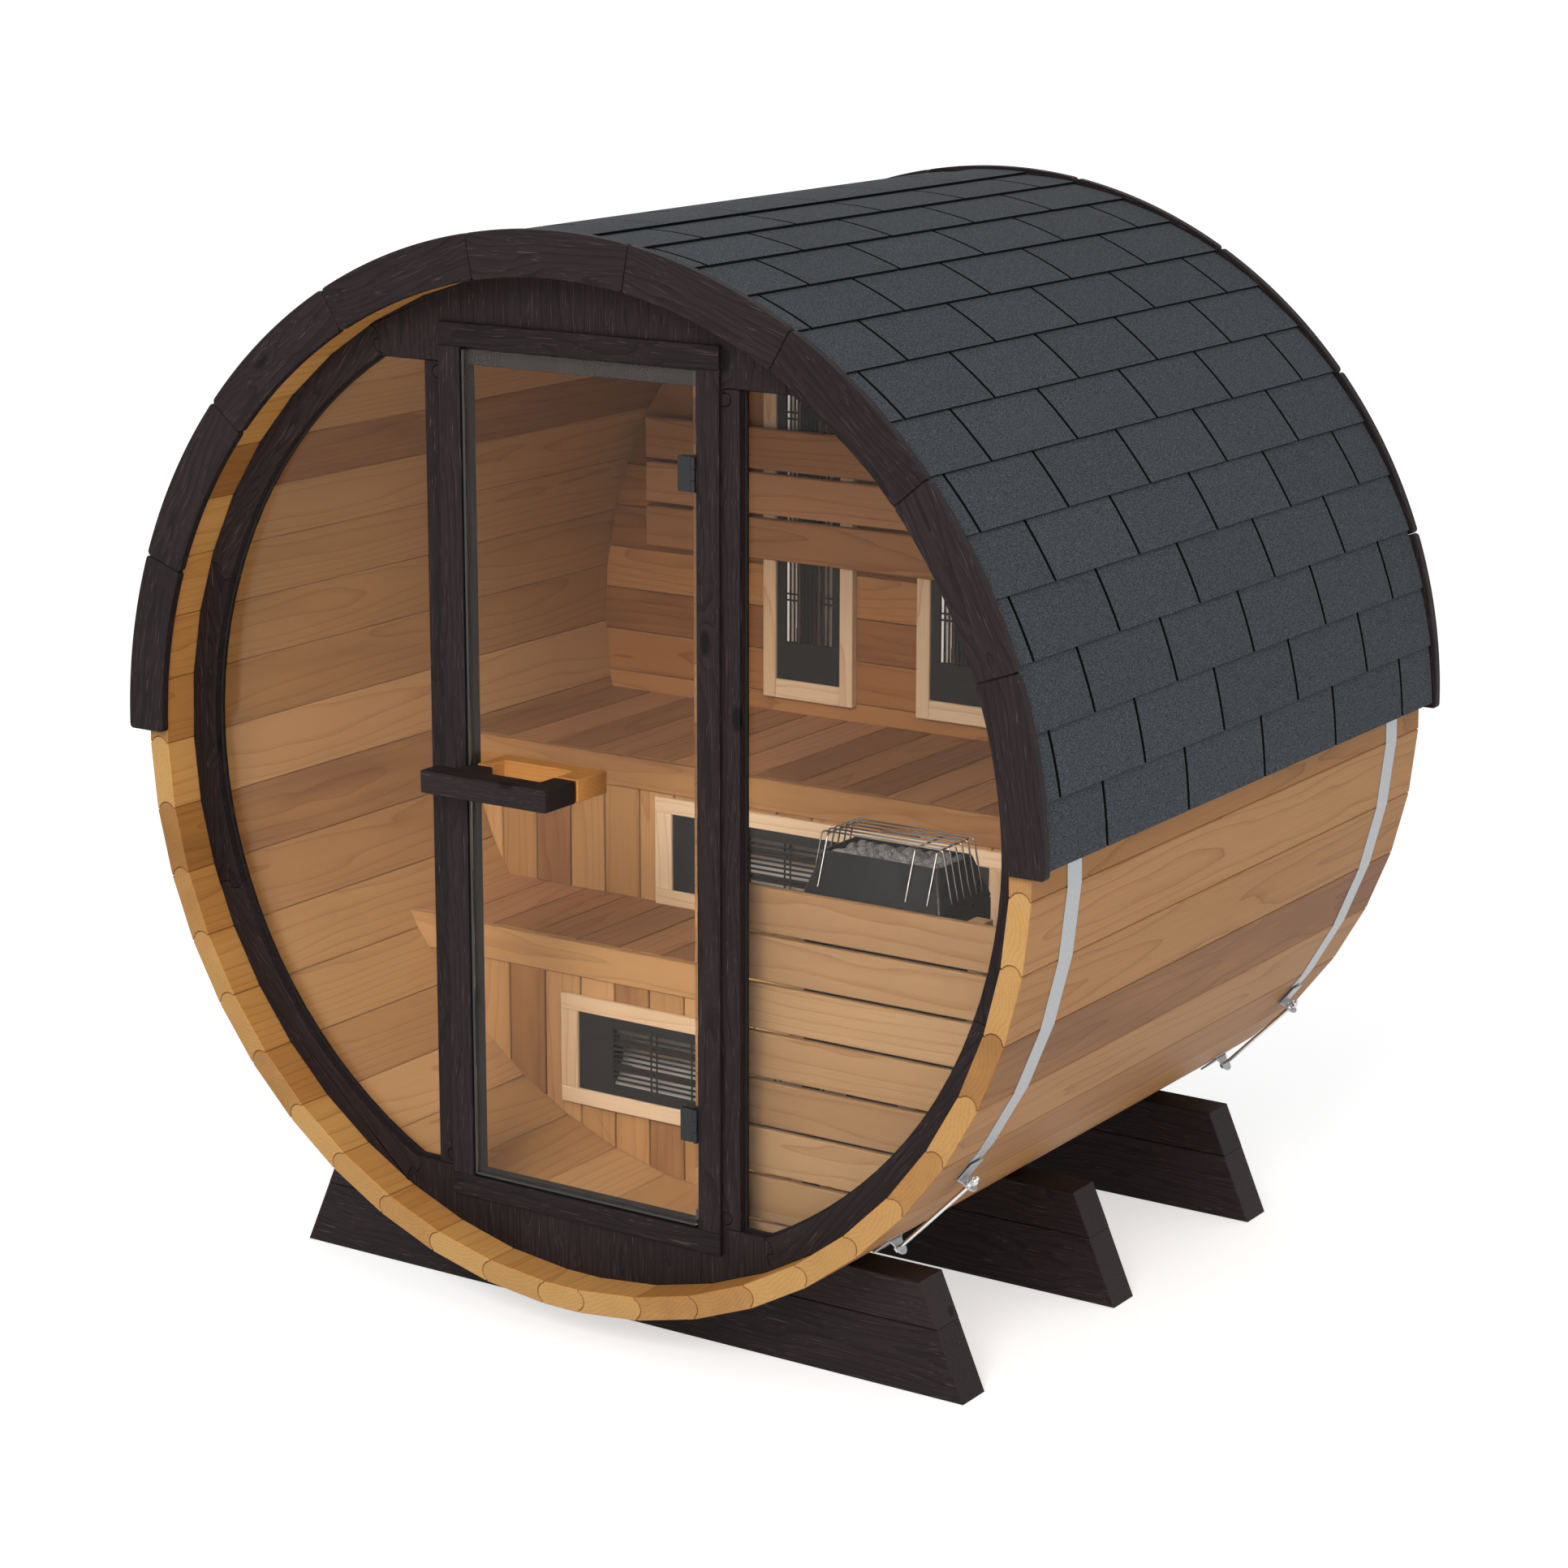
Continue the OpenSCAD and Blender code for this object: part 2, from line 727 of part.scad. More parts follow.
// Stone heater: a straight body, a rim that narrows to the mouth, and four legs
module stove_body() {
    rim_z = stove_top - stove_rim_h;
    leg = 26;
    shell = 4;
    color("#2b2c2e") placed() {
        difference() {
            hull() {
                translate([stove_x - stove_len / 2, stove_y - stove_depth / 2, rim_z])
                    cube([stove_len, stove_depth, 1]);
                translate([stove_x - stove_mouth_len / 2, stove_y - stove_mouth_depth / 2,
                    stove_top - 1]) cube([stove_mouth_len, stove_mouth_depth, 1]);
            }
            translate([stove_x - stove_mouth_len / 2 + shell,
                stove_y - stove_mouth_depth / 2 + shell, rim_z + 20])
                cube([stove_mouth_len - 2 * shell, stove_mouth_depth - 2 * shell, stove_rim_h]);
        }
        box(stove_x - stove_len / 2, stove_x + stove_len / 2, stove_y - stove_depth / 2,
            stove_y + stove_depth / 2, rim_z - stove_body_h, rim_z);
        intersection() {
            inside(0, barrel_len);
            for (sx = [-1, 1], sy = [-1, 1])
                translate([stove_x + sx * (stove_len - leg) / 2 - leg / 2,
                    stove_y + sy * (stove_depth - leg) / 2 - leg / 2, -far])
                    cube([leg, leg, far + rim_z - stove_body_h]);
        }
    }
}

// Heap of stones in the mouth, as one rounded mass
module stove_stones() {
    shell = 4;
    len0 = stove_mouth_len - 2 * shell;
    depth0 = stove_mouth_depth - 2 * shell;
    floor_z = stove_top - stove_rim_h + 20;
    color("#8d8f92") placed() {
        box(stove_x - len0 / 2, stove_x + len0 / 2, stove_y - depth0 / 2, stove_y + depth0 / 2,
            floor_z, stove_top - 8);
        hull() {
            translate([stove_x - len0 / 2, stove_y - depth0 / 2, stove_top - 9])
                cube([len0, depth0, 1]);
            translate([stove_x - len0 / 4, stove_y - depth0 / 5, stove_top + 12])
                cube([len0 / 2, depth0 / 2.5, 1]);
        }
    }
}

// How far a wire's middle lies from the heater's middle where it rests on the sloping rim
function rim_rest(base, mouth, above_rim) =
    base / 2 - (base - mouth) / 2 * above_rim / stove_rim_h
    + (guard_r + 0.2) / cos(atan2((base - mouth) / 2, stove_rim_h));

// Wire guard: wires along the heater that turn down at both ends, two cross wires, three stays
module stove_guard() {
    top_z = stove_top + guard_h;
    half_l = stove_mouth_len / 2 + 4;
    reach_y = stove_mouth_depth / 2 - 8;
    foot_h = 14;
    foot_z = stove_top - stove_rim_h + foot_h;
    foot_l = rim_rest(stove_len, stove_mouth_len, foot_h);
    foot_y = rim_rest(stove_depth, stove_mouth_depth, foot_h);
    step = 2 * reach_y / (guard_wires - 1);
    color("#c8cacc") placed() translate([stove_x, stove_y, 0]) {
        for (k = [0:guard_wires - 1]) {
            y = -reach_y + k * step;
            rod([-half_l, y, top_z], [half_l, y, top_z], guard_r);
            for (s = [-1, 1]) rod([s * half_l, y, top_z], [s * foot_l, y, foot_z], guard_r);
        }
        for (s = [-1, 1])
            rod([s * half_l, -reach_y, top_z], [s * half_l, reach_y, top_z], guard_r);
        for (x = [-half_l + 8, half_l * 0.55, half_l])
            rod([x, -reach_y, top_z], [x, -foot_y, foot_z], guard_r);
    }
}

floor_staves();
wall_right_lower();
wall_right_middle();
wall_right_upper();
wall_left_lower();
wall_left_middle();
wall_left_upper();
rear_gable();
gable_left();
gable_right();
gable_head();
gable_foot();
window_left();
window_right();
door_casing_jambs();
door_casing_rails();
door_stop();
hinge_leaves();
door_glass();
door_hinges();
door_handle_outer();
door_handle_inner();
roof_right_eave();
roof_right_crown();
roof_left_crown();
roof_left_eave();
front_fascia();
rear_fascia();
steel_bands();
band_tensioners();
cradle_lower_boards();
cradle_upper_boards();
upper_bench_seat();
upper_bench_rail();
upper_bench_skirt();
lower_bench_seat();
lower_bench_rail();
lower_bench_skirt();
ir_heater_frames();
ir_heater_panels();
backrest_slats();
heater_fence();
stove_body();
stove_stones();
stove_guard();
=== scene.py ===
# %% [markdown]
# # A barrel sauna
# The real thing is a barrel of bevelled staves on three cradles, closed by two gables and covered by
# a half-round shingled roof. Its parts are boards, bent straps and sheets, so nearly every piece here
# is one outline carried along a line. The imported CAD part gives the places: it is loaded first and
# stays as it is, and finished boards, shingles and metalwork are put where its plain panels are.

# %% Load the fixed frame
import math
from collections import namedtuple

import bpy
import numpy as np
from mathutils import Matrix, Vector


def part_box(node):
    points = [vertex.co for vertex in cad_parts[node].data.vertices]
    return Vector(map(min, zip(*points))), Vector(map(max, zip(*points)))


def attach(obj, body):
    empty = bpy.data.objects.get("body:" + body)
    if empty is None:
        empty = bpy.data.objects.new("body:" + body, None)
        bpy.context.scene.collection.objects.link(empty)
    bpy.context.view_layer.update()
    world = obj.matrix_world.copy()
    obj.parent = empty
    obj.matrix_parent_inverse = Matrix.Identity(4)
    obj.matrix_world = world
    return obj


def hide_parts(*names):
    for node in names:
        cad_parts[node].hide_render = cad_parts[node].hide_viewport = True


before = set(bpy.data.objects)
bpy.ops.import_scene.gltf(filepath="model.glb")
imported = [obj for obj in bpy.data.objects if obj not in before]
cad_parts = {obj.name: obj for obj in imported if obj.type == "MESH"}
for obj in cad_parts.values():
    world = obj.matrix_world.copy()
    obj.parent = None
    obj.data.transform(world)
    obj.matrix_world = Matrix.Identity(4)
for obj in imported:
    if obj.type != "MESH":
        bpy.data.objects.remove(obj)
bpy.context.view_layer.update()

# %% [markdown]
# ## Barrel millimetres
# A cooper measures a barrel from its own axis. All shapes are worked out in millimetres with X to the
# right, Y from the front stave ends into the barrel and Z up from the axis, and one function turns
# them into metres in the frame of the CAD part at the very end.

# %% Barrel millimetres
MM = 0.001
ORIGIN = np.array([0.0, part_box("floor_staves")[0].y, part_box("roof_right_eave")[0].z])


def extent(node):
    """Lowest and highest corner of a CAD node: its box in metres, moved to the barrel axis, in mm."""
    low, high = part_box(node)
    return (np.array(low) - ORIGIN) / MM, (np.array(high) - ORIGIN) / MM


STAVE_END = extent("floor_staves")[1][1]
GROUND = extent("cradle_lower_boards")[0][2]
OUTER_R = 1000.0
INNER_R = 954.5
print("stave length", round(STAVE_END, 1), "mm, ground at", round(GROUND, 1), "mm")

# %% [markdown]
# ## One solid
# A board is a closed outline carried along a straight line, and a wire is a circle carried along a
# bent one. Both are a stack of rings, so one function joins rings into a closed skin. Each solid also
# keeps the direction of its grain, because wood looks right only if its year rings run through the
# whole board, from face to end.

# %% Rings into a solid
Solid = namedtuple("Solid", "points faces ends along out")
X = np.array([1.0, 0.0, 0.0])
Y = np.array([0.0, 1.0, 0.0])
Z = np.array([0.0, 0.0, 1.0])


def loft(rings, along=Y, out=Z, closed=False, flip=False):
    """Joins equal rings of points: neighbouring rings share quads, and the first and last are closed
    by a flat face. Rings turn counter-clockwise seen from the end that the stack grows to."""
    count, size = rings.shape[:2]
    ring, point = np.meshgrid(np.arange(count if closed else count - 1), np.arange(size), indexing="ij")
    after, beside = (ring + 1) % count, (point + 1) % size
    quads = np.stack([ring * size + point, ring * size + beside,
                      after * size + beside, after * size + point], -1).reshape(-1, 4)
    faces = quads.tolist()
    ends = [0] * len(faces)
    if not closed:
        faces += [list(range(size - 1, -1, -1)), list(range((count - 1) * size, count * size))]
        ends += [1, 1]
    if flip:
        faces = [face[::-1] for face in faces]
    return Solid(rings.reshape(-1, 3), faces, ends, along, out)


def counter_clockwise(outline):
    """Turns an outline round if its signed area, half the sum of its cross products, is negative."""
    outline = np.asarray(outline, float)
    ahead = np.roll(outline, -1, 0)
    area = (outline[:, 0] * ahead[:, 1] - outline[:, 1] * ahead[:, 0]).sum()
    return outline if area > 0 else outline[::-1]


def inset(outline, by):
    """Moves every side of a counter-clockwise outline inwards by one distance, corners on the mitre."""
    ahead = np.roll(outline, -1, 0) - outline
    ahead /= np.linalg.norm(ahead, axis=1)[:, None]
    inward = np.stack([-ahead[:, 1], ahead[:, 0]], 1)
    before = np.roll(inward, 1, 0)
    spread = np.maximum(1 + (inward * before).sum(1), 0.5)
    return outline + by * (inward + before) / spread[:, None]


PLANES = {"xz": (0, 2, 1), "xy": (0, 1, 2), "yz": (1, 2, 0)}


def prism(outline, low, high, edge=1.5, plane="xz", along=Y, out=Z, cuts=()):
    """An outline carried straight across its plane from low to high, with a 45 degree chamfer round
    both ends: the first and last ring are drawn in by the chamfer. Each cut adds a ring between."""
    outline = counter_clockwise(outline)
    small = inset(outline, edge)
    u, v, w = PLANES[plane]
    levels = np.array([low, low + edge, *cuts, high - edge, high])
    rings = np.empty((len(levels), len(outline), 3))
    rings[..., (u, v)] = np.stack([small] + [outline] * (len(levels) - 2) + [small])
    rings[..., w] = levels[:, None]
    return loft(rings, along, out, flip=plane == "xz")


def box(low, high, edge=1.5, plane="xz", along=X, out=Y):
    """A box between two corners, as a prism across the given plane."""
    u, v, w = PLANES[plane]
    outline = [(low[u], low[v]), (high[u], low[v]), (high[u], high[v]), (low[u], high[v])]
    return prism(outline, low[w], high[w], edge, plane, along, out)


def sweep(path, profile, side, closed=False):
    """A profile carried along a path: at each point it lies on the side direction and on the path's
    normal, stretched at a bend so that the bend keeps the profile's width."""
    path, side = np.asarray(path, float), np.asarray(side, float)
    steps = np.roll(path, -1, 0) - path if closed else np.diff(path, axis=0)
    steps /= np.linalg.norm(steps, axis=1)[:, None]
    after = steps if closed else np.vstack([steps, steps[-1:]])
    before = np.roll(steps, 1, 0) if closed else np.vstack([steps[:1], steps])
    tangent = before + after
    tangent /= np.linalg.norm(tangent, axis=1)[:, None]
    stretch = 1 / np.maximum((tangent * after).sum(1), 0.3)
    normal = np.cross(tangent, side) * stretch[:, None]
    rings = path[:, None] + profile[None, :, :1] * side + profile[None, :, 1:] * normal[:, None]
    return loft(rings, steps[0], side, closed)


def circle(radius, sides=12):
    """Points on a circle, counter-clockwise."""
    turn = np.arange(sides) * 2 * np.pi / sides
    return radius * np.stack([np.cos(turn), np.sin(turn)], 1)


def oblong(x0, x1, z0, z1, radius, steps=4):
    """A rectangle whose corners are quarter circles of one radius."""
    turn = np.radians(np.linspace(0, 90, steps))
    corners = [((x1 - radius, z1 - radius), 0), ((x0 + radius, z1 - radius), 90),
               ((x0 + radius, z0 + radius), 180), ((x1 - radius, z0 + radius), 270)]
    return np.vstack([np.array(middle) + radius * np.stack(
        [np.cos(turn + math.radians(start)), np.sin(turn + math.radians(start))], 1)
        for middle, start in corners])


def divided(outline, step):
    """The same closed outline with extra points, so that no side is much longer than the step."""
    ring = np.vstack([outline, outline[:1]])
    length = np.concatenate([[0], np.cumsum(np.linalg.norm(np.diff(ring, axis=0), axis=1))])
    places = np.union1d(length, np.arange(0, length[-1], step))
    keep = np.concatenate([[True], np.diff(places) > 1e-3])
    places = places[keep][:-1]
    return np.stack([np.interp(places, length, ring[:, 0]), np.interp(places, length, ring[:, 1])], 1)


def rim(radius, degrees, push=0.0):
    """A point at a radius and direction seen from the front, pushed sideways along the rim."""
    turn = np.radians(degrees)
    radial = np.stack([np.cos(turn), np.sin(turn)], -1)
    tangent = np.stack([-np.sin(turn), np.cos(turn)], -1)
    return np.asarray(radius)[..., None] * radial + np.asarray(push)[..., None] * tangent


def turned(solid, degrees, middle=(0.0, 0.0, 0.0)):
    """Turns a solid round the Y axis, so that its X points to a direction round the barrel."""
    c, s = math.cos(math.radians(degrees)), math.sin(math.radians(degrees))
    turn = np.array([[c, 0, -s], [0, 1, 0], [s, 0, c]])
    return solid._replace(points=solid.points @ turn.T + np.array(middle),
                          along=turn @ solid.along, out=turn @ solid.out)


print("board, sweep and rim helpers ready")

# %% [markdown]
# ## Cutting boards to the barrel
# Benches, gable boards and the fence end at the staves, whose inner faces are flats between seams. A
# joiner scribes the board to the wall. Here each outline is cut by one flat after another, which
# keeps the exact angle of every cut.

# %% Stave seams and cuts
PITCH = 2 * math.degrees(math.asin(135.6 / 2 / OUTER_R))
STARTER_HALF = math.degrees(math.asin(84 / 2 / OUTER_R))
STARTER = -90.5
SIDE_STAVES = 22
CROWN = STARTER + 180
RIGHT_SEAMS = STARTER + STARTER_HALF + PITCH * np.arange(SIDE_STAVES + 1)
LEFT_SEAMS = STARTER - STARTER_HALF - PITCH * np.arange(SIDE_STAVES + 1)
SEAMS = np.concatenate([RIGHT_SEAMS, [CROWN], LEFT_SEAMS[::-1] + 360])


def cut_to_barrel(outline, clearance=0.6):
    """Keeps the part of an outline inside the staves: for each flat, points beyond it are dropped and
    each side that crosses it gets a new point where it crosses."""
    flats = np.append(SEAMS, SEAMS[0] + 360)
    middle, half = (flats[1:] + flats[:-1]) / 2, (flats[1:] - flats[:-1]) / 2
    reach = INNER_R * np.cos(np.radians(half)) - clearance
    points = counter_clockwise(outline)
    for direction, limit in zip(middle, reach):
        beyond = points @ rim(1.0, direction) - limit
        ahead = np.roll(beyond, -1)
        if beyond.max() <= 0:
            continue
        crossing = (beyond > 0) != (ahead > 0)
        share = np.where(crossing, beyond / np.where(crossing, beyond - ahead, 1), 0)
        cut = points + share[:, None] * (np.roll(points, -1, 0) - points)
        both = np.stack([points, cut], 1).reshape(-1, 2)
        points = both[np.stack([beyond <= 0, crossing], 1).ravel()]
        if len(points) < 3:
            return None
    gap = np.linalg.norm(np.roll(points, -1, 0) - points, axis=1)
    points = points[gap > 0.05]
    return points if len(points) > 2 else None


def cut_board(x0, x1, z0, z1, y0, y1, edge=1.5, along=X, out=Y):
    """A board with its face in X and Z, cut to the barrel, or nothing where it lies outside."""
    outline = cut_to_barrel([(x0, z0), (x1, z0), (x1, z1), (x0, z1)])
    return [] if outline is None else [prism(outline, y0, y1, edge, "xz", along, out)]


print(len(SEAMS), "stave seams, pitch", round(PITCH, 3), "degrees")

# %% [markdown]
# ## From solids to a piece
# Each piece is one mesh of many boards. Every board gets two attributes on its points: "grain", its
# own coordinates in metres measured from the middle of an imagined log, and "tone", one random
# number that makes some boards darker than others, as in any delivery of timber. A fixed seed keeps
# every run the same.

# %% Piece maker
rng = np.random.default_rng(21)


def make_piece(name, solids, materials, body, stands_for):
    """One mesh from many solids. Grain coordinates are the point's distance from the board's middle
    along, across and out of the grain, plus a random place in the log."""
    starts = np.cumsum([0] + [len(s.points) for s in solids])
    points = (np.vstack([s.points for s in solids]) * MM + ORIGIN).astype(float)
    faces = [[start + i for i in face] for s, start in zip(solids, starts) for face in s.faces]
    mesh = bpy.data.meshes.new(name)
    mesh.from_pydata(points, [], faces)
    grain = np.empty((len(points), 3))
    tone = np.empty(len(points))
    for s, start, stop in zip(solids, starts[:-1], starts[1:]):
        axes = np.stack([s.along, np.cross(s.out, s.along), s.out])
        place = np.array([rng.uniform(0, 5), rng.uniform(-0.03, 0.03), rng.uniform(0.04, 0.11)])
        middle = (s.points.min(0) + s.points.max(0)) / 2
        grain[start:stop] = (s.points - middle) @ axes.T * MM + place
        tone[start:stop] = rng.uniform()
    mesh.attributes.new("grain", "FLOAT_VECTOR", "POINT").data.foreach_set("vector", grain.ravel())
    mesh.attributes.new("tone", "FLOAT", "POINT").data.foreach_set("value", tone)
    for material in materials:
        mesh.materials.append(material)
    if len(materials) > 1:
        mesh.polygons.foreach_set("material_index", [e for s in solids for e in s.ends])
    mesh.polygons.foreach_set("use_smooth", [True] * len(faces))
    mesh.set_sharp_from_angle(angle=math.radians(35))
    mesh.update()
    piece = bpy.data.objects.new(name, mesh)
    bpy.context.scene.collection.objects.link(piece)
    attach(piece, body)
    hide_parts(*stands_for)
    print(name, len(solids), "solids,", len(faces), "faces")
    return piece


# %% [markdown]
# ## Adding nodes, and colours
# Materials are built from nodes. One small function adds a node of any kind, sets its values and
# links it. Colours are written as screen colours and turned to linear light once, here.

# %% Node and colour helpers
def linear(code):
    """Linear-light colour of an sRGB hex code: v/12.92 when dark, else ((v + 0.055)/1.055)^2.4."""
    value = np.array([int(code[i:i + 2], 16) for i in (1, 3, 5)]) / 255
    light = np.where(value <= 0.04045, value / 12.92, ((value + 0.055) / 1.055) ** 2.4)
    return (*light.tolist(), 1.0)


def add(tree, kind, values=None, links=None, **settings):
    """Adds a node: settings are its own properties, values and links go to its sockets."""
    node = tree.nodes.new("ShaderNode" + kind)
    for key, value in settings.items():
        setattr(node, key, value)
    for socket, value in (values or {}).items():
        node.inputs[socket].default_value = value
    for socket, source in (links or {}).items():
        tree.links.new(source, node.inputs[socket])
    return node


def stops(ramp, colours):
    """Sets a colour ramp's stops from pairs of place and colour."""
    elements = ramp.color_ramp.elements
    while len(elements) < len(colours):
        elements.new(0.5)
    for element, (place, colour) in zip(elements, colours):
        element.position = place
        element.color = colour if len(colour) == 4 else (colour[0],) * 3 + (1.0,)
    return ramp


def new_material(name, **values):
    """A material with a Principled shader whose sockets are set directly."""
    material = bpy.data.materials.new(name)
    material.use_nodes = True
    shader = material.node_tree.nodes["Principled BSDF"]
    for socket, value in values.items():
        shader.inputs[socket.replace("_", " ")].default_value = value
    return material, material.node_tree, shader


FACTOR, A, B, RESULT = 0, 6, 7, 2
print("node helper ready")

# %% [markdown]
# ## Wood
# The barrel is light, honey-coloured softwood, planed and oiled. A log's year rings are cylinders
# round its heart, so a board sawn from it shows long lines and pointed arches on its face and arcs on
# its end. The shader draws those cylinders in the board's own grain coordinates, bent by a slow
# noise that is stretched along the board. Fine fibres and a soft mottling lie over them.

# %% Wood from rings and fibres
RING_FIGURE = 20.0
STAINED_RING = 6.5


def wood(name, tones, late, ring_mm, ring_share, fibre_share, roughness, wander_mm=34, relief_mm=0.03):
    """Rings of a given spacing round the log's heart darken a colour picked per board. A wave
    texture turns once per 2 pi / 20 of its scaled distance, so its scale is 2 pi / (20 spacing)."""
    material, tree, shader = new_material(name, Roughness=roughness, IOR=1.5,
                                          Specular_IOR_Level=0.14)
    grain = add(tree, "Attribute", attribute_name="grain").outputs["Vector"]
    tone = add(tree, "Attribute", attribute_name="tone").outputs["Fac"]
    slow = add(tree, "Mapping", {"Scale": (1.1, 7.0, 7.0)}, {"Vector": grain})
    wander = add(tree, "TexNoise", {"Scale": 1.0, "Detail": 3.0, "Roughness": 0.45},
                 {"Vector": slow.outputs[0]})
    bent = add(tree, "VectorMath", {1: (wander_mm * MM * 2,) * 3},
               {0: wander.outputs["Color"], 2: grain}, operation="MULTIPLY_ADD")
    rings = add(tree, "TexWave", {"Scale": 2 * math.pi / (RING_FIGURE * ring_mm * MM)},
                {"Vector": bent.outputs[0]}, wave_type="RINGS", rings_direction="X",
                wave_profile="SAW")
    line = stops(add(tree, "ValToRGB", links={"Fac": rings.outputs["Fac"]}),
                 [(0.0, (0.2,)), (0.05, (0.0,)), (0.72, (0.06,)), (0.94, (0.5,)), (1.0, (1.0,))])
    threads = add(tree, "Mapping", {"Scale": (5.0, 330.0, 330.0)}, {"Vector": grain})
    fibre = add(tree, "TexNoise", {"Scale": 1.0, "Detail": 4.0, "Roughness": 0.6},
                {"Vector": threads.outputs[0]})
    patch = add(tree, "Mapping", {"Scale": (2.2, 16.0, 16.0)}, {"Vector": grain})
    mottle = add(tree, "TexNoise", {"Scale": 1.0, "Detail": 3.0, "Roughness": 0.55},
                 {"Vector": patch.outputs[0]})
    shift = add(tree, "Math", {1: 0.55, 2: -0.27}, {0: mottle.outputs["Fac"]},
                operation="MULTIPLY_ADD")
    shade = add(tree, "Math", {}, {0: tone, 1: shift.outputs[0]}, operation="ADD")
    base = stops(add(tree, "ValToRGB", links={"Fac": shade.outputs[0]}),
                 [(place, linear(code)) for place, code in tones])
    amount = add(tree, "Math", {1: ring_share}, {0: line.outputs[0]}, operation="MULTIPLY")
    ringed = add(tree, "Mix", {B: linear(late)}, {FACTOR: amount.outputs[0], A: base.outputs[0]},
                 data_type="RGBA", blend_type="MULTIPLY")
    thread = stops(add(tree, "ValToRGB", links={"Fac": fibre.outputs["Fac"]}),
                   [(0.36, (1 - fibre_share,)), (0.62, (1.0,))])
    final = add(tree, "Mix", {FACTOR: 1.0}, {A: ringed.outputs[RESULT], B: thread.outputs[0]},
                data_type="RGBA", blend_type="MULTIPLY")
    tree.links.new(final.outputs[RESULT], shader.inputs["Base Color"])
    bump = add(tree, "Bump", {"Strength": 0.5, "Distance": relief_mm * MM},
               {"Height": fibre.outputs["Fac"]})
    tree.links.new(bump.outputs[0], shader.inputs["Normal"])
    return material


# Oiled stave wood outside: satin, warm, with soft year rings about 12 mm apart in the log. On the rear
# gable's lining it is painted shade: a darker copy for the inside wall in the shadow of the roof.
stave_wood = wood("planed_oiled_softwood_and_lining_shade", [(0.0, "#B38455"), (0.5, "#A87848"), (0.85, "#9C6C40"),
                                            (1.0, "#875B37")], "#B08A60", 12.0, 0.5, 0.10, 0.5)
# The inside of the barrel is left untreated, so it is a little paler and yellower; this copy is also
# lightened as painted light that brightens the room.
room_wood_painted_light = wood("untreated_softwood_painted_light", [(0.0, "#C2996A"), (0.5, "#B58C5C"), (0.85, "#A87F52"),
                                               (1.0, "#936A47")], "#B08A60", 12.0, 0.4, 0.07, 0.55)
# The lips of the staves past the gables lie in the shade; this brighter, deeper honey copy of the wood is
# painted light on them.
lip_wood_painted_light = wood("lip_softwood_painted_light", [(0.0, "#D29A58"), (0.5, "#C28848"), (0.85, "#B2783E"),
                                        (1.0, "#9C6835")], "#B08A60", 12.0, 0.45, 0.10, 0.5)
# Sawn stave ends: the cut fibres are duller than the face, and paler both as cut end grain and as painted
# light on the ends that face the front.
stave_ends = wood("sawn_softwood_ends_painted_light", [(0.0, "#CA9E62"), (0.6, "#BA8B54"), (1.0, "#A07241")],
                  "#C09A68", 8.0, 0.4, 0.12, 0.62)
# Inside: bench boards and the darker fence, of the same softwood, planed but not oiled.
bench_wood = wood("planed_bench_softwood", [(0.0, "#BE9068"), (0.45, "#B08257"), (0.78, "#A0754F"),
                                            (1.0, "#8B6345")], "#B48E68", 13.0, 0.5, 0.10, 0.55)
fence_wood = wood("planed_fence_softwood", [(0.0, "#A78B6B"), (0.5, "#9D805D"), (1.0, "#8E7051")],
                  "#BC9468", 14.0, 0.45, 0.09, 0.55)
# Heater frames: pale limewood, almost without rings.
frame_wood = wood("planed_limewood", [(0.0, "#E8D2B6"), (1.0, "#DABF9C")], "#C79E70", 12.0, 0.5,
                  0.08, 0.6)
# Inner handle: light glued wood.
handle_light = wood("planed_light_handle_wood", [(0.0, "#B7854E"), (1.0, "#AB7943")], "#C09A60", 8.0,
                    0.4, 0.1, 0.5)
print("natural woods ready")

# %% [markdown]
# ## Dark stained wood
# Gables, casing, fascia, cradles and the outer handle are knotty softwood under a nearly black brown
# stain. The stain sinks in less where the wood is hard, so short paler streaks follow the grain, and
# knots stay as darker ovals. The knots are a cell pattern stretched along the board.

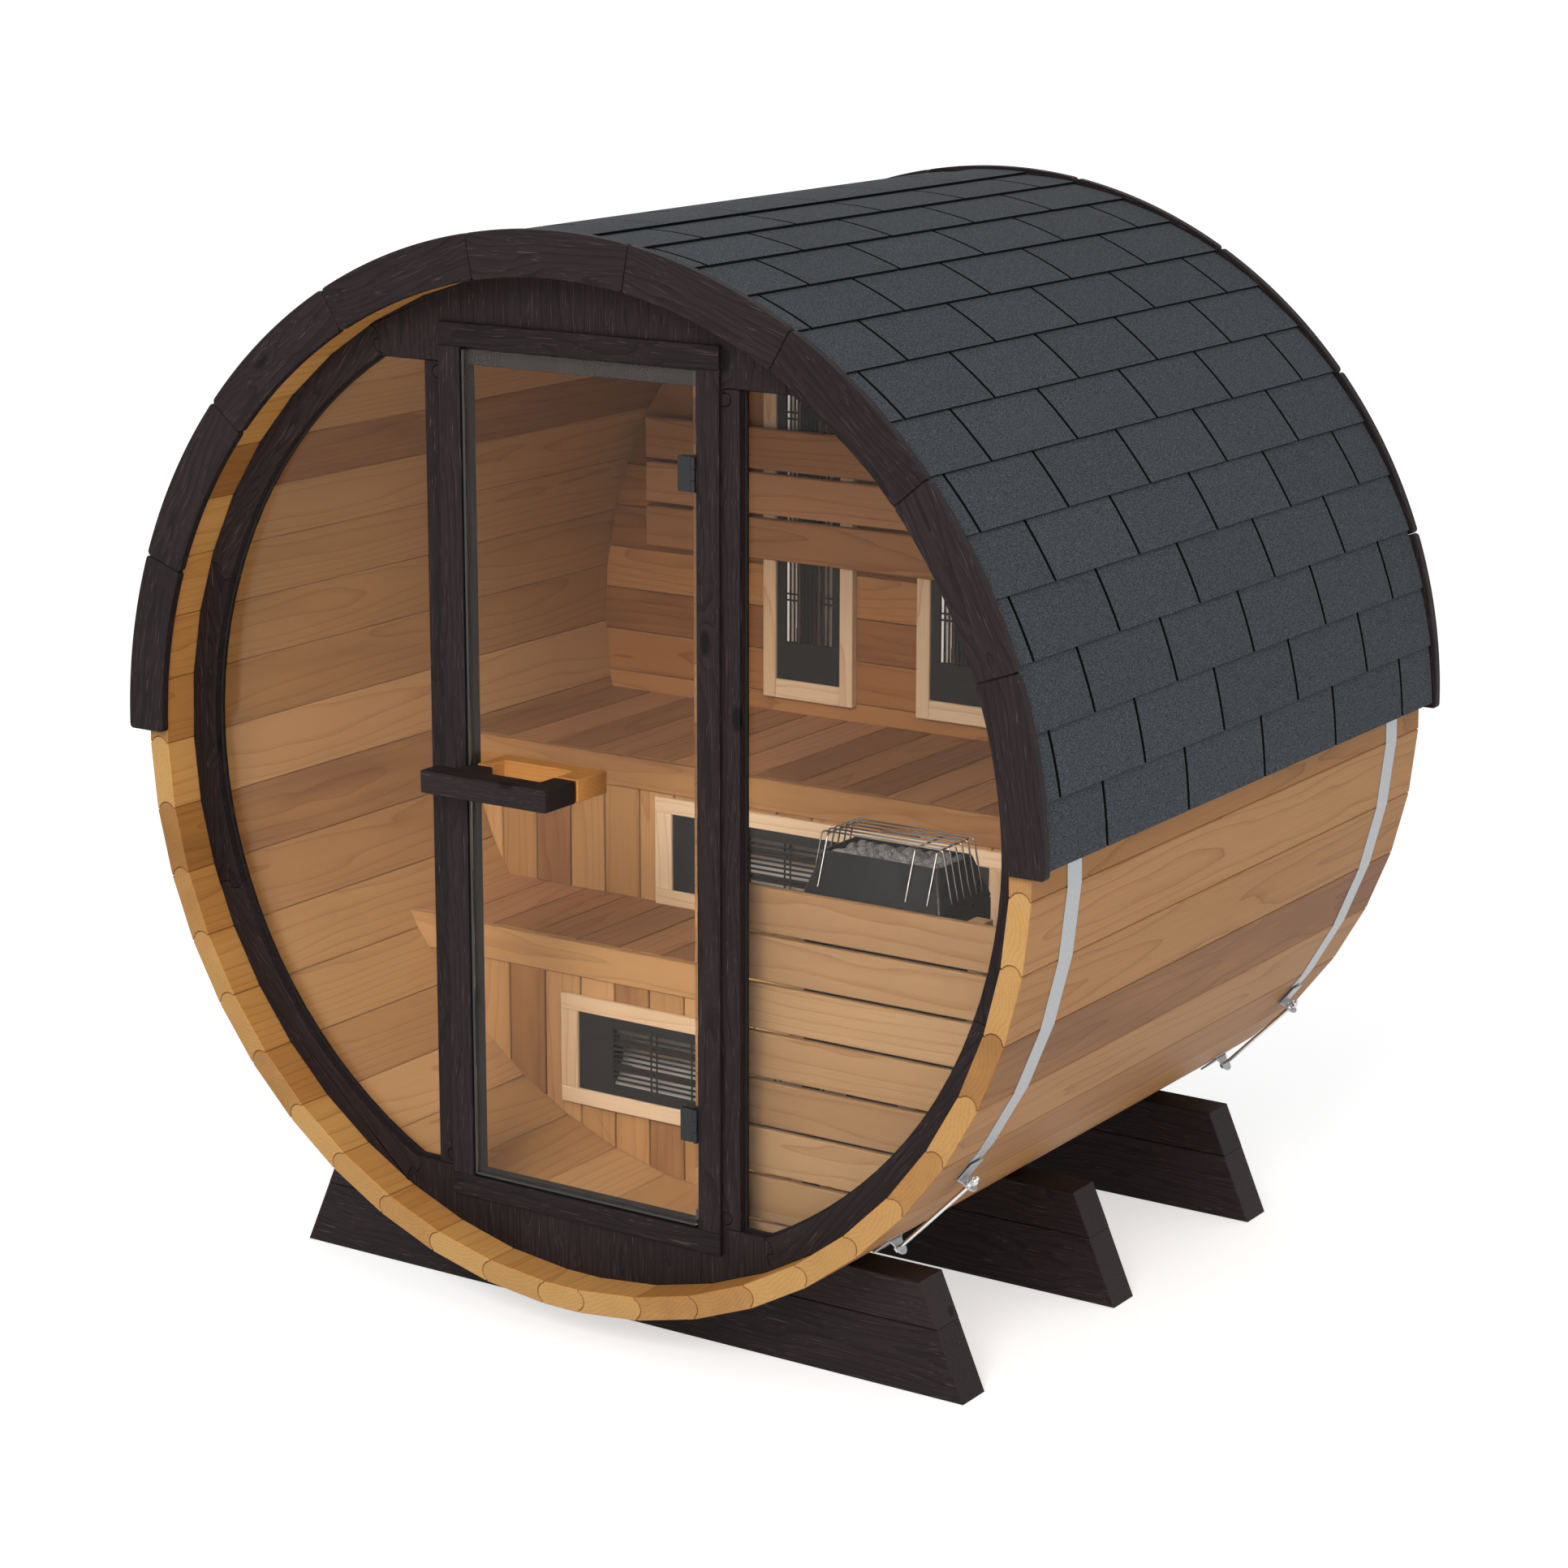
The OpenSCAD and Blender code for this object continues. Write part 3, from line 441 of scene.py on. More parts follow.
# %% Dark stained wood
def stained(name, base_code, streak_code, knot_code, roughness):
    """Year rings whose phase is pushed on near each knot, so that they flow round it; short pale
    streaks (stretched noise, its highest part only); and a dark oval for the knot itself (cell
    pattern, nearest distance only)."""
    material, tree, shader = new_material(name, Roughness=roughness, IOR=1.5,
                                          Specular_IOR_Level=0.12)
    grain = add(tree, "Attribute", attribute_name="grain").outputs["Vector"]
    tone = add(tree, "Attribute", attribute_name="tone").outputs["Fac"]
    spots = add(tree, "Mapping", {"Scale": (4.0, 9.0, 9.0)}, {"Vector": grain})
    knot = add(tree, "TexVoronoi", {"Scale": 1.0, "Randomness": 1.0}, {"Vector": spots.outputs[0]})
    oval = stops(add(tree, "ValToRGB", links={"Fac": knot.outputs["Distance"]}),
                 [(0.07, (1.0,)), (0.11, (0.0,))])
    around = stops(add(tree, "ValToRGB", links={"Fac": knot.outputs["Distance"]}),
                   [(0.0, (1.0,)), (0.1, (0.75,)), (0.22, (0.25,)), (0.42, (0.0,))])
    push = add(tree, "Math", {1: 16.0}, {0: around.outputs[0]}, operation="MULTIPLY")
    slow = add(tree, "Mapping", {"Scale": (2.4, 13.0, 13.0)}, {"Vector": grain})
    wander = add(tree, "TexNoise", {"Scale": 1.0, "Detail": 2.0}, {"Vector": slow.outputs[0]})
    bent = add(tree, "VectorMath", {1: (0.045,) * 3}, {0: wander.outputs["Color"], 2: grain},
               operation="MULTIPLY_ADD")
    rings = add(tree, "TexWave", {"Scale": 2 * math.pi / (RING_FIGURE * STAINED_RING * MM)},
                {"Vector": bent.outputs[0], "Phase Offset": push.outputs[0]}, wave_type="RINGS",
                rings_direction="X", wave_profile="SAW")
    line = stops(add(tree, "ValToRGB", links={"Fac": rings.outputs["Fac"]}),
                 [(0.0, (0.0,)), (0.6, (0.12,)), (1.0, (0.6,))])
    threads = add(tree, "Mapping", {"Scale": (9.0, 420.0, 420.0)}, {"Vector": grain})
    fibre = add(tree, "TexNoise", {"Scale": 1.0, "Detail": 3.0, "Roughness": 0.55},
                {"Vector": threads.outputs[0]})
    hair = add(tree, "Mapping", {"Scale": (11.0, 620.0, 620.0), "Location": (3.1, 1.7, 0.4)},
               {"Vector": bent.outputs[0]})
    streak = add(tree, "TexNoise", {"Scale": 1.0, "Detail": 1.0, "Roughness": 0.4},
                 {"Vector": hair.outputs[0]})
    pale = stops(add(tree, "ValToRGB", links={"Fac": streak.outputs["Fac"]}),
                 [(0.66, (0.0,)), (0.78, (0.7,))])
    body = add(tree, "Mix", {A: linear(base_code), B: linear(knot_code)},
               {FACTOR: line.outputs[0]}, data_type="RGBA")
    thread = stops(add(tree, "ValToRGB", links={"Fac": fibre.outputs["Fac"]}),
                   [(0.3, (0.72,)), (0.7, (1.2,))])
    threaded = add(tree, "Mix", {FACTOR: 1.0}, {A: body.outputs[RESULT], B: thread.outputs[0]},
                   data_type="RGBA", blend_type="MULTIPLY")
    board = stops(add(tree, "ValToRGB", links={"Fac": tone}), [(0.0, (0.78,)), (1.0, (1.2,))])
    toned = add(tree, "Mix", {FACTOR: 1.0}, {A: threaded.outputs[RESULT], B: board.outputs[0]},
                data_type="RGBA", blend_type="MULTIPLY")
    lit = add(tree, "Mix", {B: linear(streak_code)},
              {FACTOR: pale.outputs[0], A: toned.outputs[RESULT]}, data_type="RGBA")
    final = add(tree, "Mix", {B: linear(knot_code)}, {FACTOR: oval.outputs[0], A: lit.outputs[RESULT]},
                data_type="RGBA")
    tree.links.new(final.outputs[RESULT], shader.inputs["Base Color"])
    bump = add(tree, "Bump", {"Strength": 0.5, "Distance": 0.0003}, {"Height": line.outputs[0]})
    tree.links.new(bump.outputs[0], shader.inputs["Normal"])
    return material


gable_wood = stained("dark_stained_gable_wood", "#281F20", "#655151", "#0E0A0A", 0.55)
cradle_wood = stained("dark_stained_cradle_wood", "#2F2627", "#665759", "#130F0F", 0.55)
handle_dark = stained("dark_stained_handle_wood", "#2B2222", "#5E4D4C", "#110D0D", 0.5)
strip_wood = stained("grey_stained_strip_wood", "#2D2B2C", "#4C494A", "#131212", 0.6)
print("stained woods ready")

# %% [markdown]
# ## Slate shingle and felt
# Roof shingles are bitumen with slate granules: rough, blue-grey, speckled. Real grains would be
# millions of points, so a fine noise gives both their colours, through a ramp with a dark, a middle
# and a light stop, and their relief.

# %% Slate shingle and felt
# Slate granules about 1 mm across, drawn near 2 mm so that they show.
shingle, tree, shader = new_material("slate_granule_shingle", Roughness=0.9, IOR=1.5,
                                     Specular_IOR_Level=0.2)
place = add(tree, "TexCoord").outputs["Object"]
speckle = add(tree, "TexNoise", {"Scale": 520.0, "Detail": 2.0, "Roughness": 0.8}, {"Vector": place})
cloud = add(tree, "TexNoise", {"Scale": 5.0, "Detail": 3.0}, {"Vector": place})
tone = add(tree, "Attribute", attribute_name="tone").outputs["Fac"]
grit = stops(add(tree, "ValToRGB", links={"Fac": speckle.outputs["Fac"]}),
             [(0.36, linear("#1E2023")), (0.5, linear("#36393D")), (0.64, linear("#63686F"))])
soft = add(tree, "Math", {1: 0.5}, {0: cloud.outputs["Fac"], 2: tone}, operation="MULTIPLY_ADD")
worn = stops(add(tree, "ValToRGB", links={"Fac": soft.outputs[0]}), [(0.2, (0.90,)), (1.2, (1.0,))])
slate = add(tree, "Mix", {FACTOR: 1.0}, {A: grit.outputs[0], B: worn.outputs[0]}, data_type="RGBA",
            blend_type="MULTIPLY")
tree.links.new(slate.outputs[RESULT], shader.inputs["Base Color"])
rough = add(tree, "Bump", {"Strength": 0.6, "Distance": 0.0006}, {"Height": speckle.outputs["Fac"]})
tree.links.new(rough.outputs[0], shader.inputs["Normal"])
# Bitumen felt, and the cut edges of the shingles: matt black, so near black that it is also painted shade
# in the slots between tabs and along each row's lower edge.
felt = new_material("bitumen_felt_and_painted_shade", Base_Color=linear("#0A0A0B"), Roughness=0.95,
                    Specular_IOR_Level=0.1)[0]
print("shingle and felt ready")

# %% [markdown]
# ## Metals, coatings and rubber
# The bands are galvanised steel, the hinges and heaters are powder-coated or enamelled black, and the
# guard is chromed wire. Each keeps one colour, and what tells them apart is how they shine, so one
# function gives any of them its roughness, varied by a noise of the coating's real grain.

# %% Metals, coatings and rubber
def metal(name, code, roughness, metallic, grit_mm, relief_mm, gloss=0.3):
    """One metal or coated metal: a fine noise of a real size changes its roughness and relief."""
    material, tree, shader = new_material(name, Base_Color=linear(code), Metallic=metallic,
                                          Specular_IOR_Level=0.5 if metallic else gloss)
    place = add(tree, "TexCoord").outputs["Object"]
    noise = add(tree, "TexNoise", {"Scale": 1 / (grit_mm * MM), "Detail": 2.0}, {"Vector": place})
    spread = stops(add(tree, "ValToRGB", links={"Fac": noise.outputs["Fac"]}),
                   [(0.3, (roughness * 0.85,)), (0.7, (roughness * 1.2,))])
    tree.links.new(spread.outputs[0], shader.inputs["Roughness"])
    bump = add(tree, "Bump", {"Strength": 0.3, "Distance": relief_mm * MM},
               {"Height": noise.outputs["Fac"]})
    tree.links.new(bump.outputs[0], shader.inputs["Normal"])
    return material


# Galvanised strip: matt zinc grey. Bright zinc for bolts. Powder coat: satin, with a fine grain.
band_steel = metal("galvanised_strip_steel", "#A9ABAD", 0.42, 1.0, 6.0, 0.02)
bolt_zinc = metal("bright_zinc_bolts", "#D9DADC", 0.22, 1.0, 2.0, 0.01)
hinge_black = metal("black_powder_coat", "#232427", 0.45, 0.0, 1.0, 0.03)
heater_black = metal("black_heat_enamel", "#222325", 0.38, 0.0, 1.2, 0.02)
stove_steel = metal("black_stove_enamel", "#222325", 0.3, 0.0, 40.0, 0.0, 0.15)
guard_chrome = metal("chromed_wire", "#ABACAF", 0.12, 1.0, 30.0, 0.0)
reflector = metal("polished_aluminium_reflector", "#F0EFED", 0.45, 1.0, 4.0, 0.01)
tube_glass = metal("dark_quartz_tube", "#3A2A22", 0.12, 0.0, 3.0, 0.0)
# Glazing rubber: matt black. The strip on the glass door's edges: dark grey, a little smoother.
gasket = metal("black_glazing_rubber", "#1D1918", 0.8, 0.0, 2.0, 0.02)
edge_strip = metal("grey_extruded_edge_strip", "#3B3C3C", 0.6, 0.0, 2.0, 0.02)
print("metals and coatings ready")

# %% [markdown]
# ## Sauna stone
# Sauna stones are split olivine, grey and coarse, in crystals about 4 mm across. One noise of that
# size gives the crystals their greys and the broken faces their pits.

# %% Sauna stone
stone, tree, shader = new_material("olivine_sauna_stone", Roughness=0.85)
place = add(tree, "TexCoord").outputs["Object"]
crystal = add(tree, "TexNoise", {"Scale": 250.0, "Detail": 4.0, "Roughness": 0.65}, {"Vector": place})
grey = stops(add(tree, "ValToRGB", links={"Fac": crystal.outputs["Fac"]}),
             [(0.3, linear("#45474B")), (0.55, linear("#75787C")), (0.75, linear("#AAADB1"))])
tree.links.new(grey.outputs[0], shader.inputs["Base Color"])
pits = add(tree, "Bump", {"Strength": 0.7, "Distance": 0.0015}, {"Height": crystal.outputs["Fac"]})
tree.links.new(pits.outputs[0], shader.inputs["Normal"])
print("sauna stone ready")

# %% [markdown]
# ## Tinted glass
# The panes are toughened glass with a faint bronze tint. Solid glass bends light truly but throws
# a dark shadow in a renderer, so a shadow ray passes it as through a tinted film, and the room
# behind is lit.

# %% Tinted glass
# A low-reflection coat makes it mirror as little as a body of index 1.2 would, so the benches behind
# it stay clear.
glass, tree, shader = new_material("bronze_tinted_toughened_glass", Base_Color=linear("#FBF6F0"),
                                   Roughness=0.0, IOR=1.2, Transmission_Weight=1.0)
film = add(tree, "BsdfTransparent", {"Color": linear("#FBF6F0")})
ray = add(tree, "LightPath")
pane = add(tree, "MixShader", {}, {0: ray.outputs["Is Shadow Ray"], 1: shader.outputs[0],
                                   2: film.outputs[0]})
tree.links.new(pane.outputs[0], tree.nodes["Material Output"].inputs["Surface"])
for name in ("door_glass", "window_left", "window_right"):
    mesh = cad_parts[name].data
    mesh.materials.clear()
    mesh.materials.append(glass)
print(len(bpy.data.materials), "materials")

# %% [markdown]
# ## Staves
# Barrel staves lock with a canoe joint: a round bead on one long edge sits in a round cove of the next, so
# that rain can't pass. The bead points towards the crown on both sides, and the narrow starter stave at the
# bottom has a bead on each edge. A bevelled box would do for the length, but the joint's curves show on
# every stave end, so each stave is its true section carried along. Extra rings where the gables stand let
# the room side and the lips take copies of the wood of their own: a brighter one on the lips, which is
# painted light on faces in the shade, and a paler one on the room side, partly untreated wood and partly
# painted light.

# %% Staves with canoe joints
BEAD_RISE = 13.0
BEAD_HALF = 19.0
EASE = 2.0
SEAM_GAP = 0.9
LIP = extent("gable_left")[0][1] + 0.5
LIPS = (LIP, STAVE_END - LIP)


def stave_edge(seam, towards_crown, keep, curved=True):
    """One long edge from inside to outside: straight shoulders, and between them a circular arc that
    rises by the bead. Its radius is (half^2 + rise^2) / (2 rise)."""
    rise = BEAD_RISE if curved else 0.01
    radius = (BEAD_HALF ** 2 + rise ** 2) / (2 * rise)
    across = BEAD_HALF * np.sin(np.radians(np.linspace(-90, 90, 11)))
    bow = np.sqrt(radius ** 2 - across ** 2) - (radius - rise)
    middle = (OUTER_R + INNER_R) / 2
    radii = np.concatenate([[INNER_R, INNER_R + EASE], middle + across, [OUTER_R - EASE, OUTER_R]])
    push = np.concatenate([[0, 0], bow, [0, 0]]) * towards_crown + keep * SEAM_GAP / 2
    push[[0, -1]] += keep * EASE
    return rim(radii, np.full(len(radii), seam), push)


def room_side(solid):
    """Marks the faces whose middle lies on the inner radius: 2 in the room, 3 on the lips that reach
    past the gables."""
    quads = np.array(solid.faces[:-2])
    middle = solid.points[quads].mean(1)
    radius = np.linalg.norm(middle[:, [0, 2]], axis=1)
    inner = np.where(abs(middle[:, 1] - STAVE_END / 2) > STAVE_END / 2 - LIP, 3, 2)
    return solid._replace(ends=[*np.where(radius < INNER_R + EASE, inner, 0).tolist(), 1, 1])


def stave(side, seams, index):
    """A stave between two seams. Side is +1 on the right and -1 on the left of the barrel."""
    low, high = seams[index], seams[index + 1]
    lower = stave_edge(low, side, side)
    upper = stave_edge(high, side, -side, index + 2 < len(seams))
    middle = math.radians((low + high) / 2)
    out = np.array([math.cos(middle), 0, math.sin(middle)])
    return room_side(prism(np.vstack([lower, upper[::-1]]), 0, STAVE_END, 1.2, "xz", Y, out, LIPS))


stave_materials = [stave_wood, stave_ends, room_wood_painted_light, lip_wood_painted_light]
right = np.append(RIGHT_SEAMS, CROWN)
left = np.append(LEFT_SEAMS, CROWN - 360)
starter = prism(np.vstack([stave_edge(STARTER - STARTER_HALF, -1, 1),
                           stave_edge(STARTER + STARTER_HALF, 1, -1)[::-1]]),
                0, STAVE_END, 1.2, "xz", Y, -Z, LIPS)
floor = [room_side(starter)] + [stave(s, e, k) for s, e in ((1, right), (-1, left)) for k in range(3)]
make_piece("floor_boards", floor, stave_materials, "cabin", ["floor_staves"])
for word, side, seams in (("right", 1, right), ("left", -1, left)):
    for part, first, last in (("lower", 3, 9), ("middle", 9, 15), ("upper", 15, 23)):
        make_piece(f"{word}_{part}_boards", [stave(side, seams, k) for k in range(first, last)],
                   stave_materials, "cabin", [f"wall_{word}_{part}"])

# %% [markdown]
# ## Shingles
# The roof is felt on boards, then rows of shingles nailed from the eave upwards, each row covering the
# top of the one below. Cut slots part each row into tabs, and every second row is moved by half a
# tab. Each tab is a thin bent plate that leans out at its lower edge, so the rows cast real shadows.

# %% Shingle rows
ROW = 6.6
FIRST_ROW = 0.7
ROWS = 14
TAB = 303.0
SLOT = 7.0
TAB_THICK = 5.0
LOW_R = 1028.3
HIGH_R = 1023.1
FELT_R = 1017.0
ROOF_LOW_R = 1002.0


def strip(angles, top, bottom):
    """An outline in the X-Z plane between two curves given by their radius at each direction."""
    return np.vstack([rim(top, angles), rim(bottom, angles)[::-1]])


def dark_edges(solid):
    """Marks all but the weather side: the cut edges and ends show black bitumen, whose near black also
    stands as painted shade along each row's lower edge and in the slots. A face looks at the weather if its
    normal, from its two diagonals, points away from the barrel's axis."""
    corners = solid.points[np.array(solid.faces[:-2])]
    normal = np.cross(corners[:, 2] - corners[:, 0], corners[:, 3] - corners[:, 1])
    middle = corners.mean(1) * (1, 0, 1)
    outward = (normal * middle).sum(1) / np.linalg.norm(normal, axis=1) / np.linalg.norm(middle, axis=1)
    return solid._replace(ends=[*np.where(outward > 0.85, 0, 1).tolist(), 1, 1])


def shingle_row(row, side):
    """Tabs of one row: bent plates whose radius falls evenly from the lower to the upper edge."""
    start = FIRST_ROW + ROW * row
    covered = min(start + ROW + 0.9, 90.0)
    angles = np.linspace(start, covered, 7)
    fall = (angles - start) / ROW
    top = LOW_R + (HIGH_R - LOW_R) * fall
    angles = angles if side > 0 else 180 - angles
    outline = strip(angles, top, top - TAB_THICK)
    joints = (55.9 if row % 2 else -92.0) + TAB * np.arange(7)
    cuts = np.concatenate([[0.5], joints[(joints > 20) & (joints < STAVE_END - 20)], [STAVE_END - 0.5]])
    middle = math.radians(angles.mean())
    out = np.array([math.cos(middle), 0, math.sin(middle)])
    return [dark_edges(prism(outline, a + SLOT / 2, b - SLOT / 2, 0.6, "xz", Y, out))
            for a, b in zip(cuts[:-1], cuts[1:])]


for word, side in (("right", 1), ("left", -1)):
    for part, first, last, low, high in (("eave", 0, 7, FIRST_ROW - 0.1, 45.0),
                                         ("crown", 7, ROWS, 45.0, 90.0)):
        tabs = [tab for row in range(first, last) for tab in shingle_row(row, side)]
        make_piece(f"{word}_{part}_shingles", tabs, [shingle, felt], "cabin",
                   [f"roof_{word}_{part}"])
        angles = np.linspace(low, high, 25)
        angles = angles if side > 0 else 180 - angles
        outline = strip(angles, np.full(25, FELT_R), np.full(25, ROOF_LOW_R))
        make_piece(f"{word}_{part}_felt", [prism(outline, 0.3, STAVE_END - 0.3, 0.3)], [felt],
                   "cabin", [f"roof_{word}_{part}"])
angles = np.linspace(90 - 3.5, 90 + 3.5, 9)
cap = strip(angles, np.full(9, LOW_R), np.full(9, LOW_R - 3.0))
cuts = np.linspace(0, STAVE_END, 7)
caps = [dark_edges(prism(cap, a + 0.8, b - 0.8, 0.6)) for a, b in zip(cuts[:-1], cuts[1:])]
make_piece("ridge_shingles", caps, [shingle, felt], "cabin",
           ["roof_right_crown", "roof_left_crown"])

# %% [markdown]
# ## Fascia arches
# Nine sawn arcs close the stave ends over the upper half, front and back. Their corners are rounded,
# so small notches show where two boards meet. Each is a rounded oblong bent onto the barrel.

# %% Fascia arches
FASCIA_STEP = 20.0
FASCIA_IN = INNER_R - 5.0
FASCIA_OUT = 1034.8


def fascia_board(number, y0, y1):
    """A rounded oblong, its length measured along the rim and its height along the radius."""
    half = math.radians(FASCIA_STEP / 2) * OUTER_R - 0.5
    flat = divided(oblong(-half, half, FASCIA_IN, FASCIA_OUT, 8.0, 5), 22.0)
    middle = (number + 0.5) * FASCIA_STEP
    outline = rim(flat[:, 1], middle - np.degrees(flat[:, 0] / OUTER_R))
    tangent = np.array([-math.sin(math.radians(middle)), 0, math.cos(math.radians(middle))])
    return prism(outline, y0, y1, 2.0, "xz", tangent, Y)


for node in ("front_fascia", "rear_fascia"):
    low, high = extent(node)
    make_piece(node + "_boards", [fascia_board(k, low[1], high[1]) for k in range(9)], [gable_wood],
               "cabin", [node])

# %% [markdown]
# ## Rear gable
# The rear gable is two skins of horizontal boards, natural inside and stained outside. The inside boards
# take the darker oiled wood of the outside of the staves, as painted shade on the rear wall under the roof.
# The outer ones sit half a board lower, so that no gap runs through both skins and lets light in.

# %% Rear gable
low, high = extent("rear_gable")
BACK_BOARD = 95.0
middle_y = (low[1] + high[1]) / 2
levels = np.arange(-10 * BACK_BOARD - 40, 1010, BACK_BOARD)
inside = [b for z in levels
          for b in cut_board(-970, 970, z + 0.8, z + BACK_BOARD - 0.8, low[1], middle_y, 1.6)]
outside = [b for z in levels - BACK_BOARD / 2
           for b in cut_board(-970, 970, z + 0.8, z + BACK_BOARD - 0.8, middle_y, high[1], 2.0)]
# The lining takes the darker outside wood as painted shade: the rear wall lies in the shadow of the roof.
make_piece("rear_gable_lining", inside, [stave_wood], "cabin", ["rear_gable"])
make_piece("rear_gable_boards", outside, [gable_wood], "cabin", ["rear_gable"])

# %% [markdown]
# ## Front gable
# The front gable is cut by machine from panels that interlock like a puzzle round two glazed
# openings. The seams could be drawn on as dark lines, but real gaps catch the light, so each panel
# ends on the curve of its seam: a sine wave where it crosses the rim, a round bulge at a window's
# corner.

# %% Seams of the front gable
GABLE_FRONT, GABLE_BACK = extent("gable_left")[0][1], extent("gable_left")[1][1]
WINDOW_SIDE = 352.0
WINDOW_R = INNER_R - 59.5
WINDOW_TOP = 769.0
WINDOW_BOTTOM = -795.0
DOOR_HALF = 264.0
SEAM_SWING = 9.5
HALF_GAP = 0.7


def rim_seam(degrees):
    """A seam across the gable's rim. Sideways it is one sine wave; along the radius it turns back a
    little in the middle, which makes the two halves grip like a puzzle."""
    run = np.linspace(0, 1, 33)
    turn_back = 0.12 * np.sin(4 * np.pi * run) * np.sin(np.pi * run) ** 2
    radii = WINDOW_R + (INNER_R - WINDOW_R) * (run - turn_back)
    wave = SEAM_SWING * np.sin(2 * np.pi * run)
    return rim(np.append(radii, INNER_R + 20), np.full(34, degrees), np.append(wave, 0))


def rim_board(start, stop):
    """Part of the rim between two seams, cut to the barrel outside and to the window's arc inside."""
    arc = rim(np.full(13, WINDOW_R), np.linspace(start, stop, 13))
    outer = rim(np.full(13, INNER_R + 20), np.linspace(start, stop, 13))
    outline = np.vstack([arc[::-1][1:-1], rim_seam(start), outer[1:-1], rim_seam(stop)[::-1]])
    middle = math.radians((start + stop) / 2)
    tangent = np.array([-math.sin(middle), 0, math.cos(middle)])
    return gable_board(outline, tangent)


def gable_board(outline, along):
    """A gable panel cut to the barrel, drawn in by half a seam's gap all round."""
    return prism(inset(cut_to_barrel(outline), HALF_GAP), GABLE_FRONT, GABLE_BACK, 0.6, "xz", along, Y)


def corner_angle(level):
    """Direction of a window corner: where its level edge meets its arc."""
    return math.degrees(math.asin(level / WINDOW_R))


def mirrored(outline, side):
    """The outline itself on the right of the barrel, and its mirror image on the left."""
    return np.asarray(outline, float) * (side, 1)


def on_side(angle, side):
    """A direction on the right of the barrel, or its mirror image on the left."""
    return angle if side > 0 else 180 - angle


def stile_seam(level, inward):
    """The seam from a window's corner to the casing: level, a tight turn, a round bulge towards the
    window on a half circle, and level again."""
    turn = np.radians(np.linspace(125, -110, 13))
    bulge = np.stack([WINDOW_SIDE - 31 + 12 * np.cos(turn), -20 + 12 * np.sin(turn)], 1)
    nose = [(WINDOW_SIDE, 0), (WINDOW_SIDE - 26, 0), (WINDOW_SIDE - 33, -1.5), (WINDOW_SIDE - 37, -5)]
    seam = np.vstack([nose, bulge, [(WINDOW_SIDE - 42, -34), (DOOR_HALF, -34)]])
    return seam * (1, inward) + (0, level)


UP, DOWN = corner_angle(WINDOW_TOP), corner_angle(WINDOW_BOTTOM)
PAST = 0.5
print("windows open from", round(DOWN, 1), "to", round(UP, 1), "degrees")

# %% Panels of the front gable
for word, side in (("right", 1), ("left", -1)):
    joints = [DOWN - PAST, -20.0, 20.0, UP + PAST]
    boards = [rim_board(*sorted((on_side(a, side), on_side(b, side))))
              for a, b in zip(joints[:-1], joints[1:])]
    top, bottom = stile_seam(WINDOW_TOP, 1), stile_seam(WINDOW_BOTTOM, -1)
    boards.append(gable_board(mirrored(np.vstack([top, bottom[::-1]]), side), Z))
    for level, seam, end, reach in ((WINDOW_TOP, top, UP + PAST, 1),
                                    (WINDOW_BOTTOM, bottom, DOWN - PAST, -1)):
        corner = rim(WINDOW_R, on_side(corner_angle(level), side))
        outline = np.vstack([mirrored(seam[::-1], side), [corner], rim_seam(on_side(end, side)),
                             [(side * 400, reach * 980), (side * DOOR_HALF, reach * 980)]])
        boards.append(gable_board(outline, Z))
    make_piece(f"gable_{word}_panels", boards, [gable_wood], "cabin", [f"gable_{word}"])
for node in ("gable_head", "gable_foot"):
    low, high = extent(node)
    cuts = np.linspace(-DOOR_HALF, DOOR_HALF, 6)
    boards = [b for a, c in zip(cuts[:-1], cuts[1:])
              for b in cut_board(a, c, low[2], high[2], low[1], high[1], 0.5, Z)]
    make_piece(node + "_boards", boards, [gable_wood], "cabin", [node])

# %% [markdown]
# ## Casing, stops and glazing rubber
# Flat boards trim the doorway: two jambs between a head and a sill. Behind the glass a stop strip
# runs along the head, the free side and the sill and catches the door. Each fixed pane sits in its
# opening in a black rubber, whose L-shaped section is carried once round the window's edge.

# %% Casing and stops
DOOR_BOTTOM, DOOR_TOP = -805.0, 801.0
for node, along in (("door_casing_jambs", Z), ("door_casing_rails", X)):
    low, high = extent(node)
    if along is Z:
        spans = [((low[0], low[1], low[2]), (-DOOR_HALF, high[1], high[2])),
                 ((DOOR_HALF, low[1], low[2]), (high[0], high[1], high[2]))]
    else:
        spans = [((low[0], low[1], low[2]), (high[0], high[1], DOOR_BOTTOM)),
                 ((low[0], low[1], DOOR_TOP), (high[0], high[1], high[2]))]
    make_piece(node + "_boards", [box(a, b, 1.5, "xz", along, Y) for a, b in spans], [gable_wood],
               "cabin", [node])
low, high = extent("door_stop")
make_piece("door_stop_strip", [box(low, high, 1.0, "xz", Z, Y)], [strip_wood], "cabin",
           ["door_stop"])
sill_top = DOOR_BOTTOM + 9
left_stop = box((-DOOR_HALF, low[1], sill_top), (-DOOR_HALF + 6, high[1], low[2]), 0.8, "xz", Z, X)
sill_stop = box((-DOOR_HALF, low[1], DOOR_BOTTOM), (DOOR_HALF, high[1], sill_top), 0.8, "xz", X, Z)
make_piece("door_seal_strip", [left_stop, sill_stop], [strip_wood], "cabin", [])


# %% Glazing rubber
def window_outline(side):
    """A window's edge: the arc, then the straight top, side and bottom."""
    arc = rim(np.full(41, WINDOW_R), np.linspace(DOWN, UP, 41))
    return mirrored(np.vstack([arc, [(WINDOW_SIDE, WINDOW_TOP), (WINDOW_SIDE, WINDOW_BOTTOM)]]), side)


